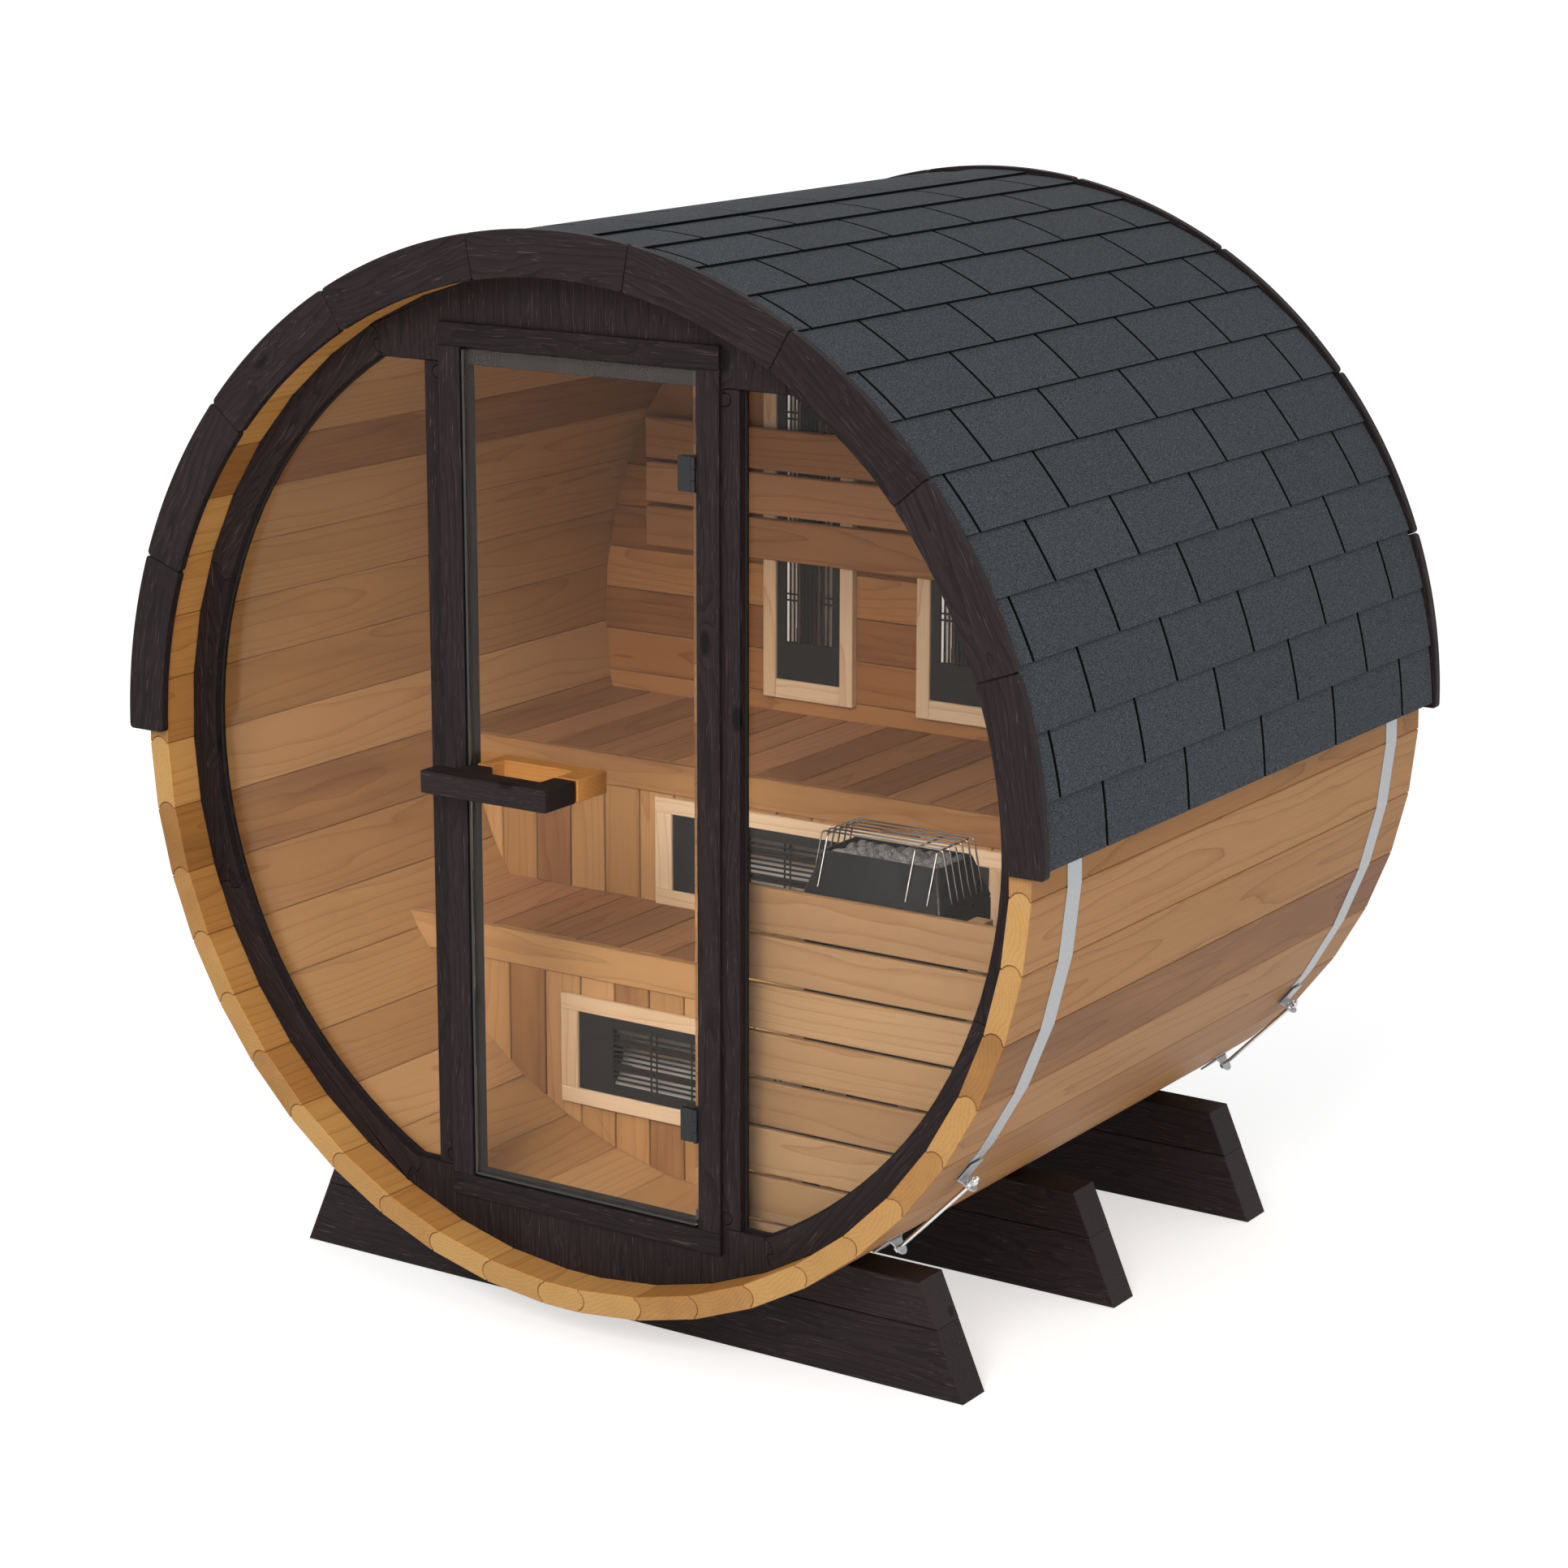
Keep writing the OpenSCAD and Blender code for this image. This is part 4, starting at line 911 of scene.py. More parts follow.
# The rubber's section: depth into the gable, and distance inwards from a line 2 mm inside the opening.
RUBBER = np.array([(0.2, -2.5), (8.6, -2.5), (8.6, -2.05), (2.1, -2.05), (2.1, 2.0), (0.2, 2.0)])
for word, side in (("right", 1), ("left", -1)):
    front = extent(f"window_{word}")[0][1]
    edge = inset(counter_clockwise(window_outline(side)), 2.0)
    path = np.stack([edge[:, 0], np.full(len(edge), front - 2.2), edge[:, 1]], 1)
    rubber = sweep(path, RUBBER, Y, closed=True)
    make_piece(f"window_{word}_rubber", [rubber], [gasket], "cabin", [])

# %% [markdown]
# ## Edge strips of the door
# A glass leaf needs its edges covered, or they mirror the room as a bright line. An L-shaped strip
# sits on the free edge and another on the bottom edge, each an L carried straight along the glass,
# a tenth of a millimetre off it.

# %% Edge strips of the door
glass_low, glass_high = extent("door_glass")
LEG_ACROSS, LEG_BACK, SKIN, SLIP = 4.6, 8.5, 0.8, 0.1
corner = np.array([(0, 0), (LEG_ACROSS, 0), (LEG_ACROSS, SKIN), (SKIN, SKIN), (SKIN, LEG_BACK),
                   (0, LEG_BACK)]) - (SKIN + SLIP)
free_edge = prism(corner + glass_low[:2], glass_low[2] - SLIP, glass_high[2] - 1, 0.15, "xy", Z, X)
under_edge = prism((corner + glass_low[[2, 1]])[:, ::-1], glass_low[0] + LEG_ACROSS, glass_high[0] - 1,
                   0.15, "yz", X, Z)
make_piece("door_edge_seal", [free_edge, under_edge], [edge_strip], "door", [])

# %% [markdown]
# ## Hinges
# Two clamp hinges hold the glass: plates on both faces, a knuckle, and a leaf on the jamb with the
# pin. Plates and moving knuckle ride on the door and the leaves on the cabin, so they are two
# pieces that turn about the same line. All are sections carried straight: rounded oblongs, circles
# and boxes.

# %% Hinges
PIN_X, PIN_Y = 260.0, 62.5
HINGE_H = 64.0
KNUCKLE_R = 4.0
LEVELS = (612.0, -604.0)
CLAMP = 5.5
PLATE_LEFT, PLATE_RIGHT = extent("door_hinges")[0][0], PIN_X - KNUCKLE_R - 1


def knuckle(z0, z1):
    """A round sleeve round the pin."""
    return prism(circle(KNUCKLE_R, 24) + (PIN_X, PIN_Y), z0, z1, 0.4, "xy", Z, Y)


moving, fixed = [], []
third = HINGE_H / 3
for z in LEVELS:
    for y0, y1 in ((glass_low[1] - CLAMP, glass_low[1]), (glass_high[1], glass_high[1] + CLAMP)):
        face = oblong(PLATE_LEFT, PLATE_RIGHT, z - HINGE_H / 2, z + HINGE_H / 2, 2.5)
        moving.append(prism(face, y0, y1, 0.8))
    middle_x = (PLATE_LEFT + PLATE_RIGHT) / 2
    for dz in (-HINGE_H / 4, HINGE_H / 4):
        head = circle(4.5, 20) + (middle_x, z + dz)
        moving.append(prism(head, glass_high[1] + CLAMP - 0.3, glass_high[1] + CLAMP + 1.1, 0.5))
    moving.append(knuckle(z - third / 2 + 0.5, z + third / 2 - 0.5))
    moving.append(box((PLATE_RIGHT - 1, PIN_Y, z - third / 2 + 0.5),
                      (PIN_X - 2.2, PIN_Y + 3.2, z + third / 2 - 0.5), 0.3))
    for end in (z - HINGE_H / 2, z + HINGE_H / 2 - third):
        fixed.append(knuckle(end, end + third))
        fixed.append(box((DOOR_HALF - 2, PIN_Y, end), (DOOR_HALF, PIN_Y + 5.4, end + third), 0.3))
    fixed.append(box((DOOR_HALF - 2, PIN_Y + 4.4, z - HINGE_H / 2),
                     (DOOR_HALF, GABLE_BACK, z + HINGE_H / 2), 0.4))
    fixed.append(prism(circle(1.6, 16) + (PIN_X, PIN_Y), z - HINGE_H / 2 + 0.2, z + HINGE_H / 2 - 0.2,
                       0.2, "xy", Z, Y))
make_piece("door_hinge_plates", moving, [hinge_black], "door", ["door_hinges"])
make_piece("jamb_hinge_leaves", fixed, [hinge_black], "cabin", ["hinge_leaves"])

# %% [markdown]
# ## Handles
# The handles are flat-sawn blocks with a finger hole, a dark one on the outer face of the glass and
# a light one on the inner. A subdivided box would round them too much, so the sawn outline gets
# small cuts at its corners and a chamfer along its edges.

# %% Handles
HOLE_LEFT, HOLE_RIGHT = -177.0, -60.0
LEG = 25.0


def soften(outline, by=2.4):
    """Cuts every corner of an outline twice: each point gives way to two, a third of a side from it,
    but no farther than the given distance."""
    for reach in (by, by * 0.42):
        ahead, behind = np.roll(outline, -1, 0) - outline, np.roll(outline, 1, 0) - outline
        steps = [d / np.linalg.norm(d, axis=1)[:, None]
                 * np.minimum(np.linalg.norm(d, axis=1) / 3, reach)[:, None] for d in (behind, ahead)]
        outline = np.stack([outline + steps[0], outline + steps[1]], 1).reshape(-1, 2)
    return outline


low, high = extent("door_handle_outer")
bar_back = low[1] + 53.0
clear_x = -DOOR_HALF + 12
outer = [(low[0], low[1]), (high[0], low[1]), (high[0], high[1]), (HOLE_RIGHT, high[1]),
         (HOLE_RIGHT, bar_back), (HOLE_LEFT, bar_back), (HOLE_LEFT - LEG, high[1]),
         (clear_x, high[1]), (clear_x, bar_back), (low[0], bar_back)]
solid = prism(soften(counter_clockwise(outer)), low[2], high[2], 1.6, "xy", X, Z)
make_piece("outer_door_handle", [solid], [handle_dark], "door",
           ["door_handle_outer"])
low, high = extent("door_handle_inner")
bar_front = high[1] - 40.0
inner = [(low[0], low[1]), (low[0] + LEG, low[1]), (low[0] + LEG, bar_front),
         (HOLE_RIGHT, bar_front), (HOLE_RIGHT, low[1]), (high[0], low[1]), (high[0], high[1]),
         (low[0], high[1])]
solid = prism(soften(counter_clockwise(inner)), low[2], high[2], 1.6, "xy", X, Z)
make_piece("inner_door_handle", [solid], [handle_light], "door",
           ["door_handle_inner"])

# %% [markdown]
# ## Steel bands
# Two straps pull the staves together, each open on the right below the middle. A taut strap touches
# the barrel only at the seams and runs straight between them, so its path is the seams' points and
# not a circle.

# %% Steel bands
BAND_T = 1.5
BAND_W = 50.0
BAND_LOW, BAND_HIGH = -50.0, -38.5
BAND_MIDS = (147.0, STAVE_END - 133.0)
turns = SEAMS[(SEAMS > BAND_HIGH) & (SEAMS < BAND_LOW + 360)]
turns = np.concatenate([[BAND_HIGH], turns, [BAND_LOW + 360]])
radii = np.full(len(turns), OUTER_R + BAND_T / 2)
radii[[0, -1]] = (OUTER_R + BAND_T / 2) * 0.9987
ring = rim(radii, turns)
strap = np.array([(-BAND_W / 2, -BAND_T / 2), (BAND_W / 2, -BAND_T / 2),
                  (BAND_W / 2, BAND_T / 2), (-BAND_W / 2, BAND_T / 2)])
bands = [sweep(np.stack([ring[:, 0], np.full(len(ring), y), ring[:, 1]], 1), strap, Y)
         for y in BAND_MIDS]
make_piece("band_straps", bands, [band_steel], "cabin", ["steel_bands"])

# %% [markdown]
# ## Tensioners
# A bracket with a rounded ear sits on either end of a strap, and a long bolt with nuts draws them
# together. They are drawn lying at the barrel's side, where sizes are easy, and then turned round
# the barrel's axis to their place.

# %% Tensioners
EAR_R = 15.3
HOLE_H = 18.7
PLATE = 3.0
FOOT = 46.0
BOLT_R = 4.0
SIT = OUTER_R + BAND_T + 0.2


def bracket(direction, y, side):
    """A foot on the strap and a lobed ear standing off it. The ear is a half circle on a neck."""
    z0, z1 = (0, FOOT) if side > 0 else (-FOOT, 0)
    foot = box((SIT - 0.8, y - 22, z0), (SIT + PLATE, y + 22, z1), 0.8, "yz")
    lobe = circle(1.0, 24)
    lobe = lobe[lobe[:, 0] > -0.1]
    lobe = lobe[np.argsort(np.arctan2(lobe[:, 1], lobe[:, 0]))] * EAR_R + (SIT + HOLE_H, 0)
    neck = np.array([(SIT, -19.0), (SIT + 6, -18.0), (SIT + 11, -EAR_R)])
    ear = np.vstack([neck, lobe, neck[::-1] * (1, -1)])
    z2, z3 = (0, PLATE) if side > 0 else (-PLATE, 0)
    plate = prism(ear + (0, y), z2, z3, 0.6, "xy")
    return [turned(foot, direction), turned(plate, direction)]


def bolt_part(radius, sides, z0, z1, y, mid, bolt_x, edge=0.8):
    """A round or hexagonal part of the bolt, round its axis."""
    return turned(prism(circle(radius, sides) + (bolt_x, y), z0, z1, edge, "xy"), mid)


brackets, bolts = [], []
mid = (BAND_LOW + BAND_HIGH) / 2
half_turn = math.radians((BAND_HIGH - BAND_LOW) / 2)
half = SIT * math.sin(half_turn)
bolt_x = SIT * math.cos(half_turn) + HOLE_H
for y in BAND_MIDS:
    brackets += bracket(BAND_HIGH, y, 1) + bracket(BAND_LOW, y, -1)
    bolts += [bolt_part(BOLT_R, 16, -half - 14, half + 26, y, mid, bolt_x),
              bolt_part(8.0, 6, -half - 14, -half - 6, y, mid, bolt_x),
              bolt_part(9.5, 24, half + 3.4, half + 5.4, y, mid, bolt_x, 0.4),
              bolt_part(8.0, 6, half + 5.4, half + 12, y, mid, bolt_x),
              bolt_part(8.0, 6, half + 12.6, half + 19, y, mid, bolt_x)]
make_piece("tensioner_brackets", brackets, [band_steel], "cabin", ["band_tensioners"])
make_piece("tensioner_bolts", bolts, [bolt_zinc], "cabin", ["band_tensioners"])

# %% [markdown]
# ## Cradles
# Each cradle is sawn from thick boards: one at the ground and one on top of it at each side, with
# leaning ends and a seat that follows the staves. A boolean cut would leave the seat's facets to
# chance, so the outline itself runs along the ends and comes back along the seams of the barrel.

# %% Cradles
LOW_BOARD = 132.0
TOP_BOARD = 219.0
CRADLE_HALF = 776.0
LEAN = 95.0 / TOP_BOARD
SEAT_R = OUTER_R + 0.3
CRADLE_T = 80.0
CRADLE_MIDS = (212.0, STAVE_END / 2, STAVE_END - 212.0)


def seat(z0, z1):
    """The barrel's underside from one level to another, on the right: ends on the circle, seams
    between them."""
    ends = np.degrees(np.arcsin(np.array([z0, z1]) / SEAT_R))
    between = SEAMS[(SEAMS > ends[0]) & (SEAMS < ends[1])]
    turns = np.concatenate([[ends[0]], between, [ends[1]]])
    return rim(np.full(len(turns), SEAT_R), turns)


def half_at(height):
    """Half the cradle's width at a height over the ground."""
    return CRADLE_HALF - LEAN * height


z_low, z_top = GROUND + LOW_BOARD, GROUND + TOP_BOARD
right_seat = seat(-SEAT_R + 0.01, z_low)
lower = np.vstack([[(-half_at(0), GROUND), (half_at(0), GROUND), (half_at(LOW_BOARD), z_low)],
                   right_seat[::-1], right_seat[1:] * (-1, 1), [(-half_at(LOW_BOARD), z_low)]])
upper = np.vstack([[(half_at(LOW_BOARD), z_low + 1.0), (half_at(TOP_BOARD), z_top)],
                   seat(z_low + 1.0, z_top)[::-1]])
lower_boards, upper_boards = [], []
for y in CRADLE_MIDS:
    span = (y - CRADLE_T / 2, y + CRADLE_T / 2)
    lower_boards.append(prism(lower, *span, 1.5, "xz", X, Y))
    upper_boards += [prism(upper * (side, 1), *span, 1.5, "xz", X, Y) for side in (1, -1)]
make_piece("cradle_ground_boards", lower_boards, [cradle_wood], "cabin",
           ["cradle_lower_boards"])
make_piece("cradle_seat_boards", upper_boards, [cradle_wood], "cabin",
           ["cradle_upper_boards"])

# %% [markdown]
# ## Benches
# Two steps of seating cross the barrel. Seat boards run from front to back, a rail closes their
# front, and upright boards form the skirt below, with dark grooves between them and an opening for
# the radiant heater. Grooves could be a pattern in the shader, but they are real gaps here, so that
# they darken by themselves from every side.

# %% Seats, rails and skirts
SEAT_BOARD = 106.0
SEAT_GAP = 6.4
SKIRT_BOARD = 90.4
SKIRT_GROOVE = 4.0
SHORTEST = 4.0
# A heater's face, by half its length and its height, and the frame round it, by half of each.
FACE_HALF = 385.0
FACE_H = 166.0
FRAME_HALF = 427.0
FRAME_HALF_H = 116.0


def seat_boards(node):
    """Boards side by side across the barrel, each cut to the staves."""
    low, high = extent(node)
    edges = np.arange(-9, 10) * SEAT_BOARD + 21
    return [b for a in edges
            for b in cut_board(a + SEAT_GAP / 2, a + SEAT_BOARD - SEAT_GAP / 2, low[2], high[2],
                               low[1], high[1], 2.0, Y, Z)]


def skirt_boards(node, heater_z):
    """Upright boards, parted above and below the heater where they meet it."""
    low, high = extent(node)
    y0, y1 = low[1], min(high[1], low[1] + 16)
    inner = np.linspace(-FACE_HALF, FACE_HALF, 10)
    step = np.arange(1, 7) * SKIRT_BOARD
    edges = np.concatenate([(-FACE_HALF - step)[::-1], inner, FACE_HALF + step])
    boards = []
    for a, b in zip(edges[:-1], edges[1:]):
        by_heater = abs(a + b) / 2 < FACE_HALF
        spans = [(low[2], high[2])]
        if by_heater:
            spans = [(low[2], heater_z - FACE_H / 2), (heater_z + FACE_H / 2, high[2])]
        for z0, z1 in spans:
            if z1 - z0 > SHORTEST:
                boards += cut_board(a + SKIRT_GROOVE / 2, b - SKIRT_GROOVE / 2, z0, z1, y0, y1, 1.5,
                                    Z, Y)
    return boards


UPPER_HEATER_Z = extent("lower_bench_seat")[1][2] + FRAME_HALF_H
LOWER_HEATER_Z = extent("ir_heater_frames")[0][2] + FRAME_HALF_H
for word, heater_z in (("upper", UPPER_HEATER_Z), ("lower", LOWER_HEATER_Z)):
    make_piece(f"{word}_seat_boards", seat_boards(f"{word}_bench_seat"), [bench_wood],
               "cabin", [f"{word}_bench_seat"])
    low, high = extent(f"{word}_bench_rail")
    rail = cut_board(-970, 970, low[2], high[2], low[1], high[1], 2.0)
    make_piece(f"{word}_seat_rail", rail, [room_wood_painted_light], "cabin", [f"{word}_bench_rail"])
    make_piece(f"{word}_skirt_boards", skirt_boards(f"{word}_bench_skirt", heater_z), [room_wood_painted_light],
               "cabin", [f"{word}_bench_skirt"])

# %% [markdown]
# ## Backrest and fence
# Three slats make the backrest, and a fence of level boards on two posts keeps legs off the stone
# heater. They are plain boards, so the wood and the shadows between them carry the look, and the
# fence is cut to the barrel as a joiner would scribe it.

# %% Backrest and fence
low, high = extent("backrest_slats")
SLAT, SLAT_STEP = 90.0, 99.0
tops = high[2] - np.arange(3) * SLAT_STEP
slats = [box((low[0], low[1], top - SLAT), (high[0], high[1], top), 3.0) for top in tops]
make_piece("backrest_boards", slats, [bench_wood], "cabin", ["backrest_slats"])
low, high = extent("heater_fence")
FENCE_T, FENCE_BOARD, FENCE_STEP, POST = 15.0, 85.8, 93.3, 34.0
tops = high[2] - np.arange(8) * FENCE_STEP
fence = [b for top in tops
         for b in cut_board(low[0], 970, top - FENCE_BOARD, top, low[1], low[1] + FENCE_T, 2.0)]
for x in (low[0], 765.0):
    fence += cut_board(x, x + POST, -960, high[2], low[1] + FENCE_T + 0.2, high[1], 2.0, Z, Y)
make_piece("fence_boards", fence, [fence_wood], "cabin", ["heater_fence"])

# %% [markdown]
# ## Radiant heaters
# A radiant heater is a black box let into the bench or fixed to the rear wall: a pale frame round it,
# a plain margin, and a guard of thin bars over a bright trough with quartz tubes. The guard could be
# a pattern on a plate, but then nothing would shine between the bars, so every bar is a solid. One
# function draws a heater in its own length and width, and lays it level or upright.

# %% One radiant heater
TROUGH_HALF = 300.0
TROUGH_H = 60.0
BAR = 4.8
SHEET = 2.0
FACE_T = 3.0


def heater(cx, cz, front, back, frame_front, frame_back, upright):
    """Parts of one heater, by material. Place lays length and width on X and Z, or on Z and X."""
    def place(points):
        points = np.asarray(points, float)
        return (points[:, ::-1] if upright else points) + (cx, cz)

    def plate(u0, u1, v0, v1, y0, y1, edge=0.8, along=X):
        return prism(place([(u0, v0), (u1, v0), (u1, v1), (u0, v1)]), y0, y1, edge, "xz", along, Y)

    def rod(u0, v0, u1, v1, y, radius, sides=12):
        ends = place([(u0, v0), (u1, v1)])
        path = np.stack([ends[:, 0], [y, y], ends[:, 1]], 1)
        return sweep(path, circle(radius, sides), Y)

    length, width = (Z, X) if upright else (X, Z)
    half, inner = FACE_H / 2, FACE_H / 2 - SHEET
    face = front + FACE_T
    sides = (-1, 1)
    members = [plate(-FRAME_HALF, FRAME_HALF, s * half, s * FRAME_HALF_H, frame_front, frame_back, 1.5,
                     length) for s in sides]
    members += [plate(s * FACE_HALF, s * FRAME_HALF, -half + 0.3, half - 0.3, frame_front, frame_back,
                      1.5, width) for s in sides]
    black = [plate(s * TROUGH_HALF, s * FACE_HALF, -half, half, front, face) for s in sides]
    black += [plate(-TROUGH_HALF, TROUGH_HALF, s * TROUGH_H, s * half, front, face) for s in sides]
    black += [plate(-FACE_HALF, FACE_HALF, s * inner, s * half, face, back) for s in sides]
    black += [plate(s * (FACE_HALF - SHEET), s * FACE_HALF, -inner, inner, face, back) for s in sides]
    black += [plate(-FACE_HALF, FACE_HALF, -half, half, back - SHEET, back)]
    black += [plate(-TROUGH_HALF, TROUGH_HALF, v - BAR / 2, v + BAR / 2, front + 0.4, face)
              for v in np.linspace(-TROUGH_H, TROUGH_H, 12)[1:-1]]
    black += [plate(u + du - 2, u + du + 2, -TROUGH_H, TROUGH_H, front + 2.6, front + 5)
              for u in np.linspace(-TROUGH_HALF, TROUGH_HALF, 7)[1:-1] for du in (-7, 7)]
    depth = min(back - front - 6, 30)
    bow = np.linspace(-1, 1, 13)
    section = np.stack([bow * TROUGH_H, front + 6 + depth * (1 - bow ** 2)], 1)
    ends = [np.stack([np.full(13, u), section[:, 0]], 1) for u in (-TROUGH_HALF, TROUGH_HALF)]
    rings = []
    for end in ends:
        flat = place(end)
        ring = np.stack([flat[:, 0], section[:, 1], flat[:, 1]], 1)
        rings.append(np.vstack([ring, ring[::-1] + (0, 1.0, 0)]))
    trough = loft(np.stack(rings), flip=not upright)
    tubes = [rod(-TROUGH_HALF + 12, v, TROUGH_HALF - 12, v, front + depth * 0.55, 6.0)
             for v in (-26, 26)]
    ferrules = [rod(s * (TROUGH_HALF - 34), v, s * (TROUGH_HALF - 2), v, front + depth * 0.55, 7.5)
                for v in (-26, 26) for s in (-1, 1)]
    return members, black, [trough], tubes + ferrules


print("a heater is", round(2 * FRAME_HALF), "mm long over its frame")

# %% Five radiant heaters
units = []
for cz, node in ((UPPER_HEATER_Z, "upper_bench_skirt"), (LOWER_HEATER_Z, "lower_bench_skirt")):
    skirt_y = extent(node)[0][1]
    units.append(heater(0, cz, skirt_y - 6, skirt_y + 39, skirt_y - 12, skirt_y, False))
wall_y = extent("rear_gable")[0][1]
wall_z = extent("ir_heater_frames")[1][2] - FRAME_HALF
for cx in (-395, 0, 395):
    units.append(heater(cx, wall_z, wall_y - 14, wall_y - 0.2, wall_y - 20, wall_y, True))
groups = [[solid for unit in units for solid in unit[k]] for k in range(4)]
make_piece("heater_frame_members", groups[0], [frame_wood], "cabin", ["ir_heater_frames"])
make_piece("heater_cases", groups[1], [heater_black], "cabin", ["ir_heater_panels"])
make_piece("heater_reflectors", groups[2], [reflector], "cabin", ["ir_heater_panels"])
make_piece("heater_tubes", groups[3], [tube_glass], "cabin", ["ir_heater_panels"])

# %% [markdown]
# ## Stone heater
# The stone heater is a sheet-steel case on four legs that narrows to an open mouth. The case is a
# stack of rounded rectangles joined into one skin, rolled in at the mouth, because a box with a
# bevel would have neither the shoulder nor the hollow.

# %% Stone heater
stove_low, stove_high = extent("stove_body")
STOVE = np.array([(stove_low[0] + stove_high[0]) / 2, (stove_low[1] + stove_high[1]) / 2])
RIM_Z = stove_high[2] - 78.0
BODY_Z = RIM_Z - 330.0
LEG_W = 26.0
BASE = np.array([300.0, 180.0])
MOUTH = np.array([250.0, 124.0])
SHELL = 4.0


def level_ring(size, z, radius):
    """A rounded rectangle of a given size, lying level round the heater's middle."""
    half = np.asarray(size) / 2
    flat = oblong(-half[0], half[0], -half[1], half[1], radius, 5) + STOVE
    return np.column_stack([flat, np.full(len(flat), z)])


case = loft(np.stack([
    level_ring(BASE - 3, BODY_Z, 10), level_ring(BASE, BODY_Z + 2, 10), level_ring(BASE, RIM_Z - 6, 10),
    level_ring(BASE - 3, RIM_Z - 4, 9), level_ring(BASE - 3, RIM_Z - 1, 9), level_ring(BASE, RIM_Z + 1, 10),
    level_ring(MOUTH, stove_high[2] - 1, 8), level_ring(MOUTH - 2, stove_high[2], 7),
    level_ring(MOUTH - 2 * SHELL, stove_high[2] - 1, 5), level_ring(MOUTH - 2 * SHELL, RIM_Z + 20, 5)]),
    Z, Y)
legs = []
for sx in (-1, 1):
    for sy in (-1, 1):
        x0 = STOVE[0] + sx * (BASE[0] - LEG_W) / 2 - LEG_W / 2
        y0 = STOVE[1] + sy * (BASE[1] - LEG_W) / 2 - LEG_W / 2
        legs += cut_board(x0, x0 + LEG_W, -960, BODY_Z + 0.5, y0, y0 + LEG_W, 1.0, Z, Y)
make_piece("stove_case", [case] + legs, [stove_steel], "cabin", ["stove_body"])

# %% [markdown]
# ## Sauna stones
# Broken stones fill the mouth. Noise on a ball gives soft lumps, so each stone is a ball cut by
# random planes, which gives the flat faces and blunt edges of split rock.

# %% Sauna stones
def pebble(middle, size):
    """A ball of grid points cut by random planes. Along any direction its radius is the nearest
    plane's distance divided by the cosine of the angle between, and at most the ball's."""
    planes = rng.normal(size=(11, 3))
    planes /= np.linalg.norm(planes, axis=1)[:, None]
    reach = rng.uniform(0.72, 1.0, 11)
    down, turn = np.meshgrid(np.radians(np.linspace(4, 176, 9)), np.arange(14) * 2 * np.pi / 14,
                             indexing="ij")
    ray = np.stack([np.sin(down) * np.cos(turn), np.sin(down) * np.sin(turn), -np.cos(down)], -1)
    facing = np.maximum(ray @ planes.T, 1e-3)
    radius = np.minimum((reach / facing).min(-1), 1.0)
    shape = ray * radius[..., None] * size * rng.uniform(0.8, 1.15, 3)
    return loft(shape + middle, X, Z)


stones = []
mouth_half = MOUTH / 2 - SHELL
columns, rows = np.meshgrid(np.linspace(-1, 1, 8), np.linspace(-1, 1, 4))
for u, v in zip(columns.ravel(), rows.ravel()):
    heap = 8 * (1 - 0.75 * max(abs(u), abs(v)))
    jitter = rng.uniform(-3, 3, 3)
    size = rng.uniform(15, 19)
    middle = np.array([*(STOVE + np.array([u, v]) * (mouth_half - 18)), stove_high[2] - 18 + heap])
    stones.append(pebble(middle + jitter, size))
make_piece("stove_stone_heap", stones, [stone], "cabin", ["stove_stones"])

# %% [markdown]
# ## Wire guard
# Bent wires arch over the stones and are tied by three cross wires. Each is a circle carried along
# its own bent path, because a wire modifier on a grid would keep sharp corners.

# %% Wire guard
guard_low, guard_high = extent("stove_guard")
WIRE = 1.7
TOP_Z = guard_high[2] - 2.4
FOOT_Z = RIM_Z + 14
half_l = MOUTH[0] / 2 + 4
reach_y = MOUTH[1] / 2 - 8
foot_x = (guard_high[0] - guard_low[0]) / 2 - 2.0
foot_y = STOVE[1] - guard_low[1] - 2.0


def bent_wire(corners, side, radius=9.0):
    """A wire through corner points with rounded bends: each corner gives way to points on a curve
    between its two sides, weighted (1 - t)^2, 2 t (1 - t) and t^2."""
    corners = np.asarray(corners, float)
    inner = corners[1:-1]
    before = corners[:-2] - inner
    after = corners[2:] - inner
    start = inner + before / np.linalg.norm(before, axis=1)[:, None] * radius
    stop = inner + after / np.linalg.norm(after, axis=1)[:, None] * radius
    t = np.linspace(0, 1, 6)[:, None, None]
    curve = (1 - t) ** 2 * start + 2 * t * (1 - t) * inner + t ** 2 * stop
    path = np.vstack([corners[:1], curve.transpose(1, 0, 2).reshape(-1, 3), corners[-1:]])
    return sweep(path, circle(WIRE), side)


wires = []
for y in STOVE[1] + np.linspace(-reach_y, reach_y, 6):
    wires.append(bent_wire([(STOVE[0] - foot_x, y, FOOT_Z), (STOVE[0] - half_l, y, TOP_Z),
                            (STOVE[0] + half_l, y, TOP_Z), (STOVE[0] + foot_x, y, FOOT_Z)], Y))
for x in (-half_l + 12, half_l * 0.55, half_l - 12):
    wires.append(bent_wire([(STOVE[0] + x, STOVE[1] - foot_y, FOOT_Z),
                            (STOVE[0] + x, STOVE[1] - reach_y, TOP_Z - 4.4),
                            (STOVE[0] + x, STOVE[1] + reach_y, TOP_Z - 4.4)], X, 6.0))
make_piece("stove_guard_wires", wires, [guard_chrome], "cabin", ["stove_guard"])

# %% [markdown]
# ## Floor
# A studio shows a building on white. A shadow catcher would leave nothing under the barrel to throw
# light back, so the floor is a pale sheet that keeps the soft shadow. It glows a little where it is
# seen directly, in a mirror or through glass, so that it runs into the white beyond.

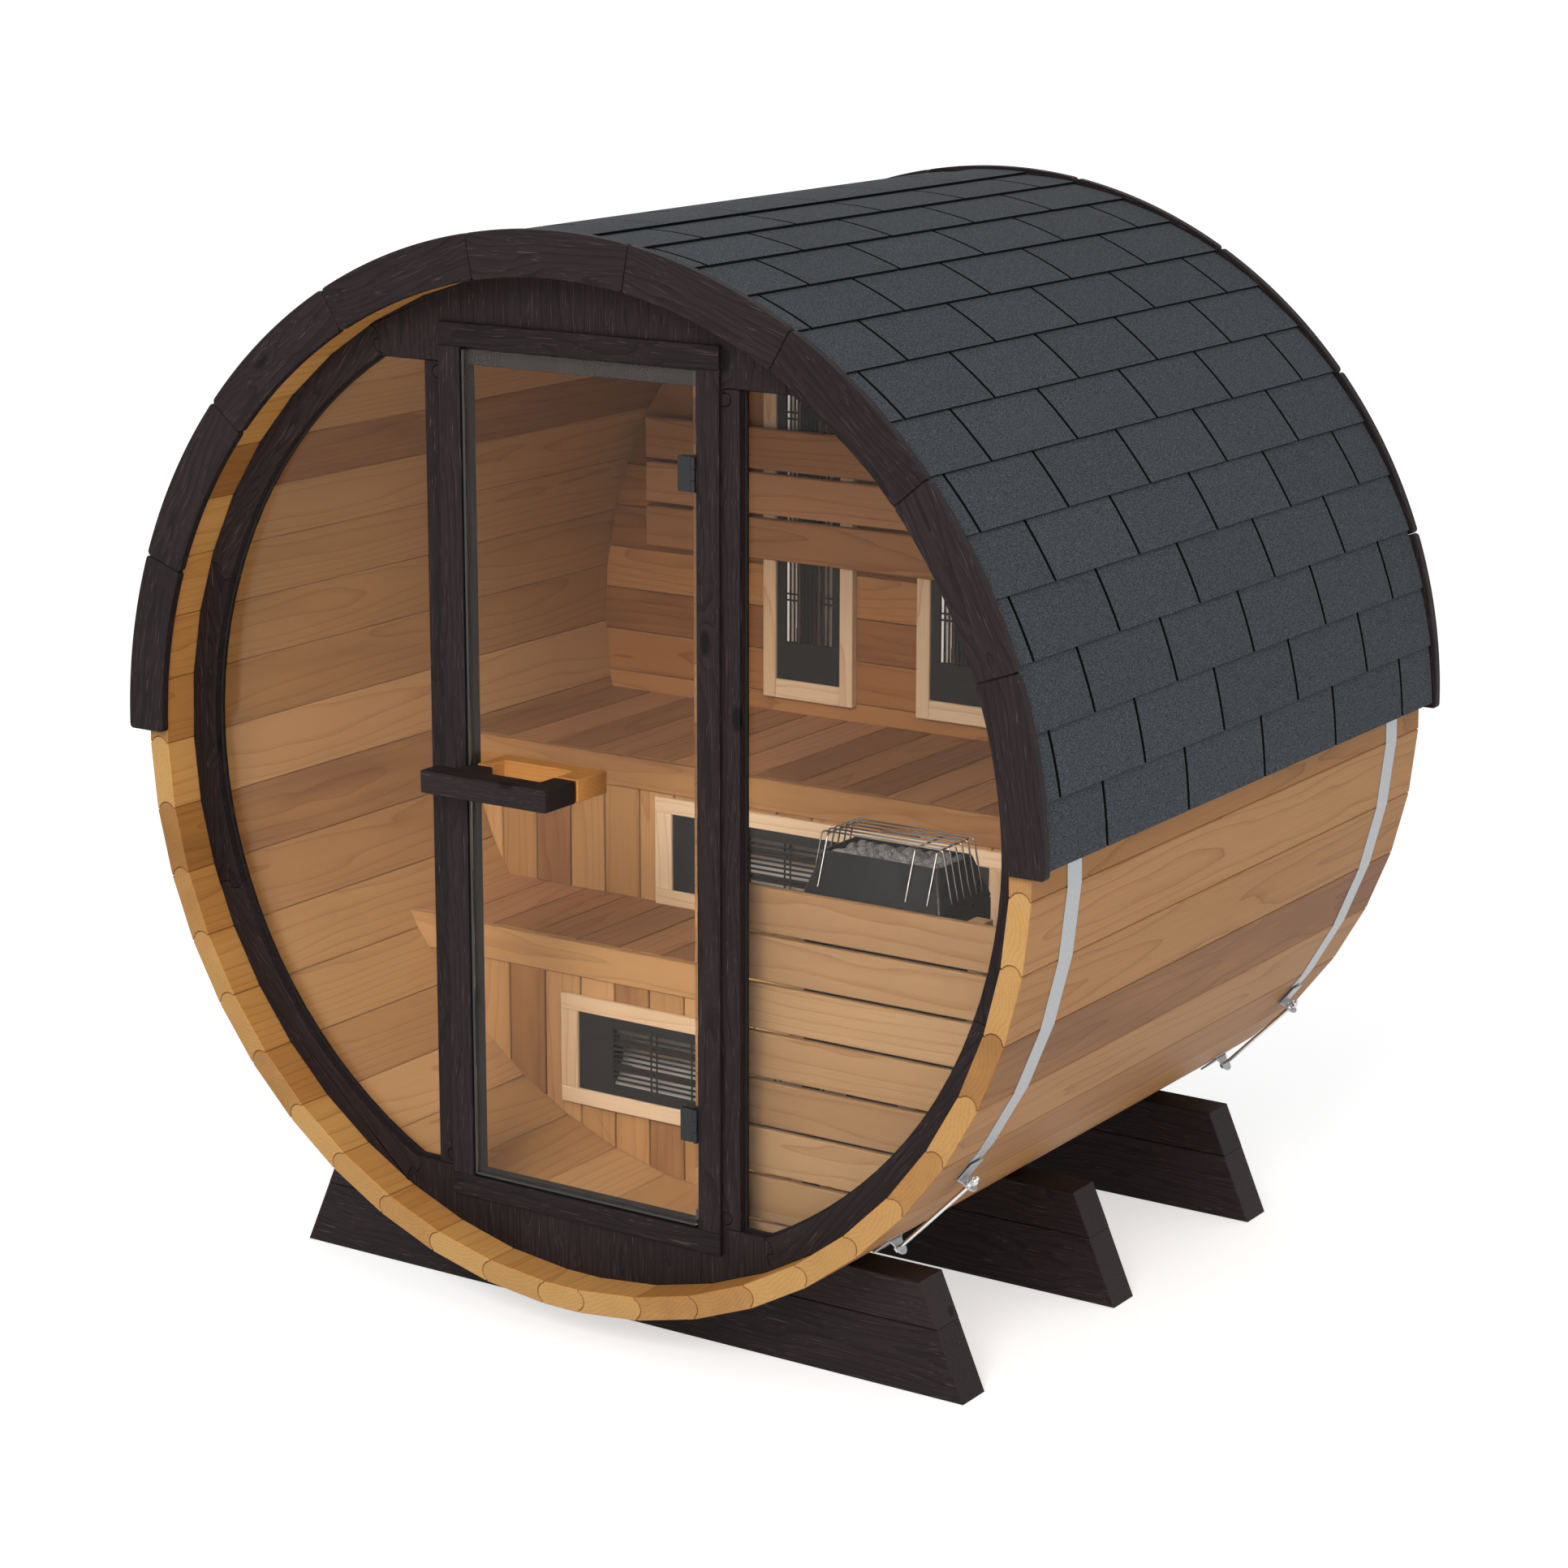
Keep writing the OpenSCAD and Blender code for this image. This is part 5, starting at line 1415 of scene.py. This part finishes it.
# %% Floor
def seen_directly(tree):
    """One for a ray from the camera, off a mirror or through glass, and nought for soft light: the
    largest of the three flags."""
    ray = add(tree, "LightPath")
    largest = ray.outputs["Is Camera Ray"]
    for flag in ("Is Glossy Ray", "Is Transmission Ray"):
        largest = add(tree, "Math", {}, {0: largest, 1: ray.outputs[flag]},
                      operation="MAXIMUM").outputs[0]
    return largest


bpy.ops.mesh.primitive_plane_add(size=400, location=(0, 0, -0.001))
ground = bpy.context.object
ground.name = "studio_floor"
paper, tree, shader = new_material("white_studio_paper", Base_Color=linear("#E7E7E7"), Roughness=0.9)
glow = add(tree, "Emission", {"Color": (1, 1, 1, 1), "Strength": 0.56})
shown = add(tree, "MixShader", {}, {0: seen_directly(tree), 2: glow.outputs[0]})
both = add(tree, "AddShader", {}, {0: shader.outputs[0], 1: shown.outputs[0]})
tree.links.new(both.outputs[0], tree.nodes["Material Output"].inputs["Surface"])
ground.data.materials.append(paper)
print("floor in place")

# %% [markdown]
# ## World and lamps
# The world lights the building evenly and shows plain white where it is seen directly. An even
# light alone looks flat, so a large lamp from the front gives shape and a weaker one from the right
# fills the shadows.

# %% World and lamps
world = bpy.data.worlds.new("studio")
bpy.context.scene.world = world
world.use_nodes = True
tree = world.node_tree
plain = tree.nodes["Background"]
plain.inputs["Color"].default_value = (1, 1, 1, 1)
plain.inputs["Strength"].default_value = 0.58
bright = add(tree, "Background", {"Color": (1, 1, 1, 1), "Strength": 1.0})
mixed = add(tree, "MixShader", {}, {0: seen_directly(tree), 1: plain.outputs[0], 2: bright.outputs[0]})
tree.links.new(mixed.outputs[0], tree.nodes["World Output"].inputs["Surface"])


def lamp(name, place, power, size):
    """A square soft lamp that faces the middle of the barrel."""
    light = bpy.data.lights.new(name, "AREA")
    light.energy, light.size = power, size
    holder = bpy.data.objects.new(name, light)
    holder.location = place
    holder.rotation_mode = "QUATERNION"
    holder.rotation_quaternion = (Vector((0, 0, 1)) - Vector(place)).to_track_quat("-Z", "Y")
    bpy.context.scene.collection.objects.link(holder)


lamp("key", (2.3, -7.7, 5.2), 355, 2.6)
lamp("fill", (8.0, -3.4, 1.0), 150, 4.0)
print("world and", len(bpy.data.lights), "lamps in place")

# %% [markdown]
# ## Camera
# The view is from the front and the right, a little above the roof's height, with a long lens. The
# camera's place is written out, not aimed at an object, so that the view can't drift with the part.

# %% Camera
camera = bpy.data.objects.new("camera", bpy.data.cameras.new("camera"))
camera.data.lens = 88.945
camera.data.sensor_width = 36.0
camera.matrix_world = (Matrix.Translation((4.1304, -6.2979, 2.8071))
                       @ Matrix.Rotation(math.radians(33.384), 4, "Z")
                       @ Matrix.Rotation(math.radians(90 - 13.947), 4, "X")
                       @ Matrix.Rotation(math.radians(0.126), 4, "Z"))
bpy.context.scene.collection.objects.link(camera)
bpy.context.scene.camera = camera
bpy.context.scene.view_settings.view_transform = "Standard"
print("camera with a", round(camera.data.lens), "mm lens")
